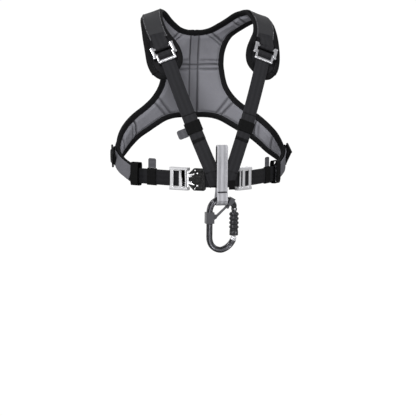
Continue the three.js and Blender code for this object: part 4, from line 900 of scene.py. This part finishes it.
def plate(name, place, outline, thick, material, side=1, ease=0.5):
    """A flat piece with softened edges; outline in the frame's x and y, counter-clockwise."""
    centre_x = sum(x for x, _ in outline) / len(outline)
    centre_y = sum(y for _, y in outline) / len(outline)

    def layer(shrink, z):
        loop = []
        for x, y in outline:
            dx, dy = x - centre_x, y - centre_y
            inward = shrink / max(math.hypot(dx, dy), 1e-6)
            loop.append(place.at(x - dx * inward, y - dy * inward, z))
        return to_side(loop, side)

    rings = [layer(ease * a, ease * b - thick / 2) for a, b in EASING]
    rings += [layer(ease * a, thick / 2 - ease * b) for a, b in EASING[::-1]]
    return tube(name, rings, outline * len(rings), [material])


def rounded_box(x0, x1, y0, y1, radius, steps=3):
    corners = [(x1 - radius, y0 + radius, -90), (x1 - radius, y1 - radius, 0),
               (x0 + radius, y1 - radius, 90), (x0 + radius, y0 + radius, 180)]
    return [point for x, y, turn in corners for point in arc(x, y, radius, turn, turn + 90, steps)]


# name, from and to across the buckle, from and to along it, corner radius, thickness and softening
BUCKLE_PARTS = [
    ("cheek", 17.4, 23.4, -17.5, 2.5, 1.6, 4.6, 0.7), ("brow", 16.6, 24.2, -18.2, -14.6, 1.2, 5.0, 0.6),
    ("knob", 19.6, 24.6, 0.6, 4.6, 1.6, 4.4, 0.8), ("leg", 14.4, 18.6, -1.5, 15, 1.2, 4.2, 0.7),
]


FOOT_STEPS, FOOT_SIDES, FOOT_HALF, FOOT_AT = 96, 20, 18.6, 13.2  # the foot bar of a buckle
FOOT_A, FOOT_B, GRIP_HALF, GRIP_DEPTH = 3.1, 2.6, 16.5, 0.28


def buckle_cheeks(side, label):
    for edge, name in ((1, "outer"), (-1, "inner")):
        for part, near, far, low, high, radius, thick, ease in BUCKLE_PARTS:
            outline = rounded_box(*sorted((edge * near, edge * far)), low, high, radius)
            plate(f"buckle_{part}_{name}_{label}", buckle, outline, thick, STEEL, side, ease)
    # the foot bar, with slanted grip grooves
    rings, uvs = [], []
    for k in range(FOOT_STEPS + 1):
        x = mix(-FOOT_HALF, FOOT_HALF, k / FOOT_STEPS)
        end = 1 - 0.25 * smooth((abs(x) - FOOT_HALF + 1.2) / 1.2)
        ring = []
        for a in range(FOOT_SIDES):
            angle = math.tau * a / FOOT_SIDES
            c, s = bulge(math.cos(angle), 0.6), bulge(math.sin(angle), 0.7)
            groove = GRIP_DEPTH * (0.5 + 0.5 * math.sin(x * 2.4 + c * 3)) if s > 0 and abs(x) < GRIP_HALF else 0
            ring.append(buckle.at(x, FOOT_AT + c * FOOT_A * end, s * (FOOT_B * end - groove)))
            uvs.append((x, a * 0.9))
        rings.append(to_side(ring, side))
    tube(f"buckle_foot_{label}", rings, uvs, [STEEL])


pair(buckle_cheeks)

# ---- front straps ----
STRAP_FOOT, STRAP_SPREAD, STRAP_BOW = 15.5, 0.37, 3
STRAP_FACING = v(0.15, -1, 0).normalized()
STRAP_STAND = BELT_WALL / 2 + GAP + WEB_WALL / 2 + 0.6


def strap_foot(height):
    x = STRAP_FOOT + STRAP_SPREAD * (height + BELT_WIDTH / 2)
    return v(x, belt_point(STRAP_FOOT).y, BELT_Z + height) + STRAP_FACING * STRAP_STAND


strap_low = strap_foot(BELT_WIDTH / 2 + 4)
strap_high = buckle.at(0, BAR_BELOW + 12, -wrap + 0.4)
FOOT_INWARD = 8.5  # the two feet are sewn one over the other behind the loop


def strap_share(share):
    inward = FOOT_INWARD * (1 - share) ** 2
    return strap_low.lerp(strap_high, share) + STRAP_FACING * (STRAP_BOW * 4 * share * (1 - share)) - v(inward, 0, 0)


belt_tangent = -(STRAP_FACING.cross(UPRIGHT)).normalized()
facing_sign = 1 if belt_tangent.dot(buckle.x) > 0 else -1


def strap_side(share):
    return belt_tangent.lerp(buckle.x * facing_sign, share).normalized()


def front_strap(side, label):
    foot = [strap_foot(h) - v(FOOT_INWARD * (1.0 if h < 0 else 1.02), 0, 0)
            for h in (-BELT_WIDTH / 2 + 4, 0, BELT_WIDTH / 2)]
    shares = [0, 0.12, 0.25, 0.38, 0.5, 0.62, 0.75, 0.88, 1]
    fold = [(BAR_BELOW + 4, -wrap - 0.1), (BAR_BELOW - 3, -wrap), (BAR_BELOW - 6.2, -wrap * 0.3),
            (BAR_BELOW - 9, wrap * 0.8), *arc(0, 0, wrap, 62, 270, 8), (4.5, -wrap - 2.2),
            (BAR_BELOW - 3, -wrap - WEB_WALL - GAP - 0.1), (BAR_BELOW + 6, -wrap - WEB_WALL - GAP - 0.2)]
    points = foot + [strap_share(s) for s in shares] + [buckle.at(0, y, z) for y, z in fold]
    if side == 1:
        # the right foot lies on the left one
        for k, lift in enumerate((2.1, 2.1, 2.1, 2.0, 1.2, 0.4)):
            points[k] = points[k] + STRAP_FACING * lift
    sides = [strap_side(0)] * 3 + [strap_side(s) for s in shares] + [strap_side(1)] * len(fold)
    made = strap(f"front_strap_{label}", points, sides, WEB_WIDTH, WEB_WALL, STRAP, side, per=4, crown=0.15)
    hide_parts(f"v_strap_{label}")


pair(front_strap)


def strap_frame(share):
    down = strap_share(share - 0.03) - strap_share(share + 0.03)
    side = strap_side(share)
    hint = side.cross(down)
    if hint.dot(STRAP_FACING) < 0:
        hint.negate()
    return frame_at(strap_share(share), down, hint)


SHADED_END_RINGS = 4  # rings at each end of the doubled piece


def strap_tail(side, label):
    shares = [0.278, 0.284, 0.34, 0.4, 0.46, 0.523, 0.53]
    frames = [strap_frame(s) for s in shares]
    points = [f.origin + f.out * (WEB_WALL + GAP) for f in frames]
    sides = [strap_side(s) for s in shares]
    per = 3
    made = strap(f"strap_tail_{label}", points, sides, WEB_WIDTH, WEB_WALL, STRAP, side, per, crown=0.2)
    # both ends are coloured black: painted shade where the doubled piece steps down onto the strap
    made.data.materials.append(BINDING)
    for polygon in made.data.polygons:
        ring = min(polygon.vertices) // STRAP_SECTION
        if ring < SHADED_END_RINGS or ring > per * (len(shares) - 1) - SHADED_END_RINGS:
            polygon.material_index = 1
    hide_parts(f"v_tail_{label}")
    out = to_side([frames[0].out], side)
    for place, name in ((0.292, "low"), (0.301, "second")):
        f = strap_frame(place)
        line = to_side([f.at(t, 0, WEB_WALL * 1.5 + GAP + 0.35) for t in (-12, -6, 0, 6, 12)], side)
        stitches(f"tail_{name}_{label}", line, out * 5, BINDING, 3.2, 2.2, 0.3)


pair(strap_tail)


def band(name, node, place, width, depth, length, wall=KEEPER_WALL, side=1, ribs=0.12, slack=0.0):
    """A soft elastic band round a strap; place.y is the way along the strap."""
    a, b = width / 2 + wall, depth / 2 + wall
    turns = [math.tau * k / 28 for k in range(28)]
    outline = [(bulge(math.cos(t), 0.3) * a, bulge(math.sin(t), 0.45) * b) for t in turns]
    inside = [(x * (a - wall) / a, z * (b - wall) / b) for x, z in outline]
    around = lengths([v(x, 0, z) for x, z in outline])

    def ring(shape, y, grow):
        loop = []
        for x, z in shape:
            wave = slack * math.sin(x * 0.35 + y * 0.5) * (1 if z > 0 else 0.4)
            loop.append(place.at(x + math.copysign(grow, x) * 0.5, y, z + math.copysign(grow + wave * 0.5, z)))
        return to_side(loop, side)

    rings, uvs = [], []
    ys = [mix(-0.5, 0.5, t / 14) * length for t in range(15)]
    for y in ys:
        end = abs(y) / (length / 2)
        grow = (-0.35 if end > 0.98 else 0) + ribs * math.sin(y * 2.2) + slack * 0.6 * (1 - end)
        rings.append(ring(outline, y, grow))
        uvs.extend((y, q) for q in around)
    for y in ys[::-1]:
        rings.append(ring(inside, y * 0.995, 0))
        uvs.extend((y, q + INNER_FACE) for q in around)
    made = tube(name, rings, uvs, [ELASTIC], closed=True)
    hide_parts(node)


KEEPER_SHARE = 0.41  # how far up the front strap its keeper sits
KEEPER_WIDTH = WEB_WIDTH + 1.6


def strap_keeper(side, label):
    # it goes round the strap and its doubled end
    f = strap_frame(KEEPER_SHARE)
    f.origin = f.origin + f.out * (WEB_WALL + GAP) / 2
    band(f"strap_keeper_{label}", f"v_keeper_{label}", f, KEEPER_WIDTH, 2 * WEB_WALL + GAP + 1.2, 22, side=side)


pair(strap_keeper)

keeper_place = strap_frame(KEEPER_SHARE)
tab_origin = mirrored(keeper_place.at(0, 5, (WEB_WALL + GAP) / 2))
tab_way, tab_side = mirrored(keeper_place.x), mirrored(keeper_place.y)
if tab_way.x > 0:
    tab_way.negate()
tab_at = Place(tab_origin, tab_side, tab_way, tab_side.cross(tab_way))
tab_outline = rounded_box(-9, 9, KEEPER_WIDTH / 2 - 2, KEEPER_WIDTH / 2 + 19.5, 4, 5)
tab_made = plate("strap_tab_left", tab_at, tab_outline, 2.2, TAB, 1, 0.6)
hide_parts("tab_strap_left")
tab_edge = [tab_at.at(x * 0.82, y, 1.2) for x, y in tab_outline + tab_outline[:1]]
stitches("strap_tab_seam", tab_edge, [tab_at.out] * len(tab_edge), THREAD, 2.6, 1.9, 0.34)

# ---- chest belt ----
KEEPER_AT, ADJUSTER_INNER, ADJUSTER_OUTER, BELT_END = 117, 58, 88, 140.5
RIGHT_INNER, RIGHT_OUTER, RELEASE_INNER = 34, 66, 30.5
LAYER = BELT_WALL / 2 + GAP / 2


def belt_strip(name, stops, node):
    points = [belt_point(x) + belt_out(x) * depth for x, depth in stops]
    made = strap(name, points, [-UPRIGHT] * len(points), BELT_WIDTH, BELT_WALL, BELT, per=3, crown=0.2)
    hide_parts(node)


def stops(a, b):
    steps = max(1, round(abs(b - a) / 8))
    return [(mix(a, b, k / steps), 0) for k in range(steps + 1)]


belt_strip("belt_webbing_left", stops(-BELT_END, -ADJUSTER_OUTER) + [(-ADJUSTER_INNER - 5, 0)], "belt_left")
belt_strip("belt_webbing_centre", [(-RELEASE_INNER - 2.5, 0)] + stops(-RELEASE_INNER + 4, RIGHT_INNER - 4)
           + [(RIGHT_INNER + 2, -LAYER), (RIGHT_OUTER - 14, -LAYER)], "belt_centre")
belt_strip("belt_webbing_right", [(RIGHT_INNER + 8, LAYER), (RIGHT_OUTER - 10, LAYER), (RIGHT_OUTER, 0)]
           + stops(RIGHT_OUTER + 8, BELT_END), "belt_right")

for side, label in ((1, "right"), (-1, "left")):
    f = belt_frame(side * (KEEPER_AT - 6), side * (KEEPER_AT + 6))
    turned = Place(f.origin, -f.y, f.x, f.out)
    band(f"belt_band_{label}", f"belt_keeper_{label}", turned, BELT_WIDTH + 1, BELT_WALL + 1.6, 20)

# ---- wing ends ----
WEB_END_ROW = 37


def wing_band(side, label):
    middle = arm_points[WEB_END_ROW].lerp(inner_points[WEB_END_ROW], 0.5)
    way = belt_point(KEEPER_AT + 15) - middle
    way.z = 0
    way.normalize()
    out = UPRIGHT.cross(way)
    if out.dot(belt_out(wing_end.x)) < 0:
        out.negate()
        way.negate()
    top, foot = arm_points[WEB_END_ROW - 1].z, inner_points[-1].z
    origin = v(wing_end.x, wing_end.y, (top + foot) / 2) + out * 2.4 + way * (1.5 if way.x < 0 else -1.5)
    band(f"wing_end_{label}", f"wing_band_{label}", Place(origin, UPRIGHT, way, out), top - foot + 1.4, 13, 17, 1.4,
         side, 0.1, 0.5)


pair(wing_band)

# ---- sternal loop ----
BOW_BELOW, BIGHT_RADIUS, LOOP_TOP = 37, 10.2, 65
CARABINER_Y = -FRONT_DEPTH - 1
bow_z = BELT_Z - BOW_BELOW
front_y = belt_point(0).y - STRAP_STAND - WEB_WALL / 2 - LOOP_WALL / 2 - 3.2
back_y = belt_point(LOOP_WIDTH / 2).y + BELT_WALL / 2 + GAP + LOOP_WALL / 2
top_z, top_y = BELT_Z + LOOP_TOP - 4, (front_y + back_y) / 2
low_z, high_z = BELT_Z - BELT_WIDTH / 2 - 3, BELT_Z + BELT_WIDTH / 2 + 3
half_up = mix(top_z, high_z, 0.5)
top_radius = (back_y - front_y) / 2
line = [*arc(top_y, top_z, top_radius, 0, 180, 6), (front_y, half_up), (front_y, high_z), (front_y, BELT_Z),
        (front_y, low_z), *arc(CARABINER_Y, bow_z, BIGHT_RADIUS + LOOP_WALL / 2, 180, 360, 10),
        (back_y, low_z), (back_y, BELT_Z), (back_y, high_z), (back_y, half_up)]
loop_points = [v(0, y, z) for y, z in line]
made = strap("chest_loop", loop_points, [ACROSS] * len(loop_points), LOOP_WIDTH + 1.5, LOOP_WALL, LOOP,
             closed=True, crown=0.1)
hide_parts("sternal_loop")
# a dark sheet inside the loop's eye is painted shade on its inner faces
INSET = 1.8  # of the dark inside of the loop's eye
eye = [(back_y - INSET, high_z + 14), (back_y - INSET, half_up), *arc(top_y, top_z, top_radius - INSET, 0, 180, 6),
       (front_y + INSET, half_up), (front_y + INSET, high_z + 14)]
strap("loop_eye_painted_shade", [v(0, y, z) for y, z in eye], [ACROSS] * len(eye), LOOP_WIDTH + 1.3, 1.0, LOOP_PAINTED_SHADE,
      per=4, crown=0.05)
face = front_y - LOOP_WALL / 2 - 0.25
for name, x in (("m8", -7.6), ("m4", -4.4), ("p4", 4.4), ("p8", 7.6)):
    column = [v(x, face, BELT_Z + height) for height in (52, 20, 0, -20)]
    stitches(f"loop_column_{name}", column, [FORWARD] * 4, LOOP, 3.0, 2.3, 0.3)
# the bar tack follows the face of the webbing where it turns into the bight
front_run = [p for p in spline(loop_points, 30, True) if p.y < CARABINER_Y and p.z < BELT_Z]
TACK_BELOW, TACK_STEP = 21.8, 0.75
for row in range(4):
    z = BELT_Z - TACK_BELOW - row * TACK_STEP
    tack_y = min(front_run, key=lambda p: abs(p.z - z)).y - LOOP_WALL / 2 - 0.2
    tack = [v(x, tack_y, z) for x in (-9.5, 0, 9.5)]
    stitches(f"loop_tack_{row}", tack, [FORWARD] * 3, DARK_THREAD, 1.7, 1.9, 0.42)

# ---- carabiner ----
ROD_WIDTH, ROD_DEPTH, CARABINER_WIDTH, CARABINER_HEIGHT = 11.6, 10, 64, 110
SLEEVE_RADIUS, RIB_HEIGHT, HINGE_UP, NOSE_UP = 8.5, 0.9, 0.6, -0.5
SPINE_X = -(CARABINER_WIDTH - ROD_WIDTH) / 2
GATE_X = CARABINER_WIDTH / 2 - SLEEVE_RADIUS - RIB_HEIGHT
BOW_Z = (CARABINER_HEIGHT - ROD_WIDTH) / 2
carabiner_origin = v(3.5, CARABINER_Y, BELT_Z - BOW_BELOW - BOW_Z)
CARABINER_LINE = [
    (1, 0.66), (0.96, 0.755), (0.8, 0.875), (0.46, 0.965), (0, 1), (-0.45, 0.955), (-0.8, 0.815), (-0.98, 0.6),
    (-1, 0.3), (-1, 0), (-1, -0.3), (-0.98, -0.6), (-0.81, -0.815), (-0.47, -0.955), (-0.05, -1), (0.34, -0.935),
    (0.67, -0.81), (0.9, -0.65), (1, NOSE_UP),
]


def carabiner_point(across, height):
    return v(mix(SPINE_X, GATE_X, (across + 1) / 2), 0, height * BOW_Z)


hinge = carabiner_point(1, HINGE_UP)


def circle(centre, a, b, radius, count):
    """Points round centre, in the plane of the directions a and b."""
    turns = [math.tau * k / count for k in range(count)]
    return [centre + (a * math.cos(t) + b * math.sin(t)) * radius for t in turns]


def lathe(name, profile, centre, material, body, sides, dent=None):
    rings = []
    for radius, z in profile:
        turns = [math.tau * k / sides for k in range(sides)]
        reach = [radius - (dent(t, z) if dent else 0) for t in turns]
        rings.append([centre + v(r * math.cos(t), r * math.sin(t), z) for r, t in zip(reach, turns)])
    run = lengths([v(r, 0, z) for r, z in profile])
    uvs = [(along, math.tau * 8 * k / sides) for along in run for k in range(sides)]
    return tube(name, rings, uvs, [material], body, True)


NOSE_HIGHLIGHT, RECESS_START, RECESS_END = 7, 8, 6  # lengths along the bow


def carabiner_bow():
    path = spline([carabiner_point(a, u) for a, u in CARABINER_LINE], 7)
    a, b = ROD_WIDTH / 2, ROD_DEPTH / 2
    quarter = [(a, b * 0.22), (a * 0.98, b * 0.5), (a * 0.9, b * 0.76), (a * 0.76, b * 0.93), (a * 0.6, b),
               (a * 0.5, b * 0.97), (a * 0.42, b * 0.8), (a * 0.3, b * 0.72), (0, b * 0.7)]
    half = [(x, -y) for x, y in quarter[::-1]] + quarter
    section = half + [(-x, -y) for x, y in half][1:-1]
    rings, uvs = [], []
    run = lengths(path)
    total = run[-1]
    for i, point in enumerate(path):
        tangent = (path[min(i + 1, len(path) - 1)] - path[max(i - 1, 0)]).normalized()
        across = v(tangent.z, 0, -tangent.x)
        ends = min(run[i], total - run[i])
        full = mix(0.84, 1, smooth(ends / 6))
        fade = smooth((ends - 8) / 10)
        ring = []
        for x, y in section:
            # the recess along the faces runs out toward both ends
            depth = mix(math.copysign(b * 0.97, y), y, fade) if abs(x) < a * 0.55 else y
            ring.append(carabiner_origin + point + across * x * full + DEEP * depth * full)
        rings.append(ring)
        uvs.extend((run[i], k * 2.0) for k in range(len(section)))
    made = tube("carabiner_frame", rings, uvs, [GLOSS, RECESS_REFLECTION, STEEL], "carabiner")
    count = len(section)
    for polygon in made.data.polygons:
        marks = [abs(section[vertex % count][0]) / a for vertex in polygon.vertices]
        # the recess floor takes the lighter material, a painted reflection
        if max(marks) < 0.45 and RECESS_START < run[polygon.vertices[0] // count] < total - RECESS_END:
            polygon.material_index = 1
        # the end that the gate closes on is steel coloured, a painted highlight
        if min(run[vertex // count] for vertex in polygon.vertices) > total - NOSE_HIGHLIGHT:
            polygon.material_index = 2
    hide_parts("carabiner_body")


def hinge_and_nose():
    # the lug of the hinge, from its rivet up to the bow
    centre = carabiner_origin + hinge
    reach = carabiner_origin + carabiner_point(0.93, 0.8)
    way = (reach - centre).normalized()
    side = v(way.z, 0, -way.x)
    corners = ((-1, -1.6), (-0.8, -2), (0.8, -2), (1, -1.6), (1, 1.6), (0.8, 2), (-0.8, 2), (-1, 1.6))
    lug = [[centre.lerp(reach, t / 6) + side * x * mix(4.4, 5.0, t / 6) + DEEP * y for x, y in corners]
           for t in range(7)]
    tube("hinge_lug", lug, None, [GLOSS], "carabiner")
    rivet = [circle(centre + DEEP * y, ACROSS, UPRIGHT, radius, 24) for radius, y in
             ((0.01, -5.3), (1.5, -5.25), (2.1, -4.9), (2.1, 4.9), (1.5, 5.25), (0.01, 5.3))]
    pin = tube("hinge_pin", rivet, None, [STEEL], "carabiner")
    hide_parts("hinge_rivet")
    # the nose that the gate closes on, in steel as a painted highlight
    nose = carabiner_origin + carabiner_point(1, NOSE_UP)
    cap = [(0.02, 1.0), (3.0, 1.0), (4.2, 0.6), (4.9, -0.4), (5.1, -2.2), (4.9, -2.5), (0.02, -2.5)]
    lathe("nose_cap_painted_highlight", cap, nose, STEEL, "carabiner", 32)


RIBS, RIB_PITCH, GRIPS, GRIP_CUT = 4, 8.3, 12, 0.35  # rings round the sleeve, and flutes along it


def lock_sleeve():
    top, bottom = hinge.z - 6, NOSE_UP * BOW_Z + 3
    outer, crest = SLEEVE_RADIUS, SLEEVE_RADIUS + RIB_HEIGHT
    profile = [(5.2, top - 0.2), (5.2, bottom + 0.2), (outer - 1.1, bottom), (outer - 0.3, bottom + 0.4),
               (outer, bottom + 1.2), (outer, bottom + 8), (outer - 0.5, bottom + 8.5), (outer, bottom + 9)]
    flank = [(outer - 0.9, 3.4), (outer - 0.5, 2.6), (outer + 0.5, 1.9), (crest, 1.1)]
    for k in range(RIBS - 1, -1, -1):
        middle = top - 4 - k * RIB_PITCH
        profile += [(r, middle - z) for r, z in flank] + [(r, middle + z) for r, z in flank[::-1]]
    profile += [(outer - 0.3, top - 0.5), (outer - 1.0, top)]

    def grip(angle, z):
        return GRIP_CUT * (0.5 + 0.5 * math.cos(angle * GRIPS)) if z > bottom + 9.5 else 0

    sleeve = lathe("lock_sleeve", profile, carabiner_origin + ACROSS * hinge.x, GATE, "sleeve", 72, grip)
    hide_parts("gate_sleeve")


CAPTIVE_STEPS, CAPTIVE_SIDES = 40, 20


def captive_rod():
    low, high = carabiner_point(-0.5, 0.3), carabiner_point(0.5, 0.76)
    way = (high - low).normalized()
    flat = v(way.z, 0, -way.x)
    rings = []
    for k in range(CAPTIVE_STEPS + 1):
        share = k / CAPTIVE_STEPS
        radius = mix(2.6, 2.1, share) * (0.5 if share in (0, 1) else 1)
        rings.append(circle(carabiner_origin + low.lerp(high, share), flat, DEEP, radius, CAPTIVE_SIDES))
    uvs = [(k * 0.75, a) for k in range(CAPTIVE_STEPS + 1) for a in range(CAPTIVE_SIDES)]
    tube("captive_rod", rings, uvs, [CAPTIVE], "carabiner")
    ring_at = carabiner_origin + low.lerp(high, 0.9)
    ring = [circle(ring_at + way * along, flat, DEEP, radius, 24) for along, radius in
            ((-2.2, 2.2), (-2.0, 3.0), (-1.2, 3.3), (1.2, 3.3), (2.0, 3.0), (2.2, 2.2))]
    tube("captive_ring", ring, None, [PLASTIC], "carabiner")


carabiner_bow()
hinge_and_nose()
rounded_copy("gate", GATE, 0.35, "gate", "gate_pin")
lock_sleeve()
rounded_copy("captive_bar", CAPTIVE, 0.4, "carabiner")
captive_rod()

# ---- webbing through the side sliders ----
slider_seat, slider_normal = on_yoke(WING_ROW, 7.4 + WEB_WALL + 2 + 0.3)
slider_down = on_yoke(WING_ROW + 1, 0)[0] - on_yoke(WING_ROW - 1, 0)[0]
slider = frame_at(slider_seat, slider_down, slider_normal)


def slider_webbing(side, label):
    over = [(-13, -5.5), (-9.5, -3.2), (-6.5, 0.6), (-3, 2.9), (0, 3.3), (3, 2.9), (6.5, 0.6), (9.5, -3.2),
            (13, -5.5)]
    under = [(-12.5, -3.4), (-6, -2.9), (0, -2.7), (6, -2.9), (12.5, -3.4)]
    for name, line in (("over", over), ("under", under)):
        points = [slider.at(0, y, z) for y, z in line]
        strap(f"slider_{name}_{label}", points, [slider.x] * len(points), WEB_WIDTH + 1, 1.9, BINDING, side, per=4,
              crown=0.2)
    plate(f"slider_fold_{label}", slider, rounded_box(-14.5, 14.5, -10.5, 10.5, 2.5), 4.6, BINDING, side, 1.2)


pair(slider_webbing)

# ---- fittings whose CAD shape is right, with softened edges ----
for label in ("left", "right"):
    for node, material, width in (("shoulder_buckle", STEEL, 0.5), ("shoulder_bar", STEEL, 0.5),
                                  ("belt_adjuster", ALLOY, 0.6), ("side_slider", PLASTIC, 0.5), ("tab_belt", TAB, 0.5)):
        rounded_copy(f"{node}_{label}", material, width)
rounded_copy("release_body", PLASTIC, 0.6)
rounded_copy("release_tongue", ALLOY, 0.3)
rounded_copy("blank_tag", ELASTIC, 0.4)
for k in range(4):
    rounded_copy(f"release_rivet_{k + 1}", ALLOY, 0.3)
release = belt_frame(-56.5, -RELEASE_INNER)


def on_release(name, outline, thick, material, ease, height):
    plate(name, release, outline, thick, material, 1, ease).location = release.out * (height * MM)


for sign, label in ((1, "top"), (-1, "foot")):
    rim = [(-3, sign * 19.5), (12.5, sign * 19.5), (12.5, sign * 14.8), (-0.5, sign * 14.8)]
    prong = [(-15.5, sign * 9.2), (-4.5, sign * 11.6), (-4.0, sign * 9.4), (-15.0, sign * 6.6)]
    on_release(f"release_rim_{label}", rim[::-sign], 1.4, PLASTIC, 0.4, 5.4)
    on_release(f"release_prong_{label}", prong[::-sign], 1.6, ALLOY, 0.4, 4.9)
on_release("release_panel", rounded_box(-4.5, 9, -7.5, 7.5, 2.2), 1.4, PLASTIC, 0.5, 5.3)
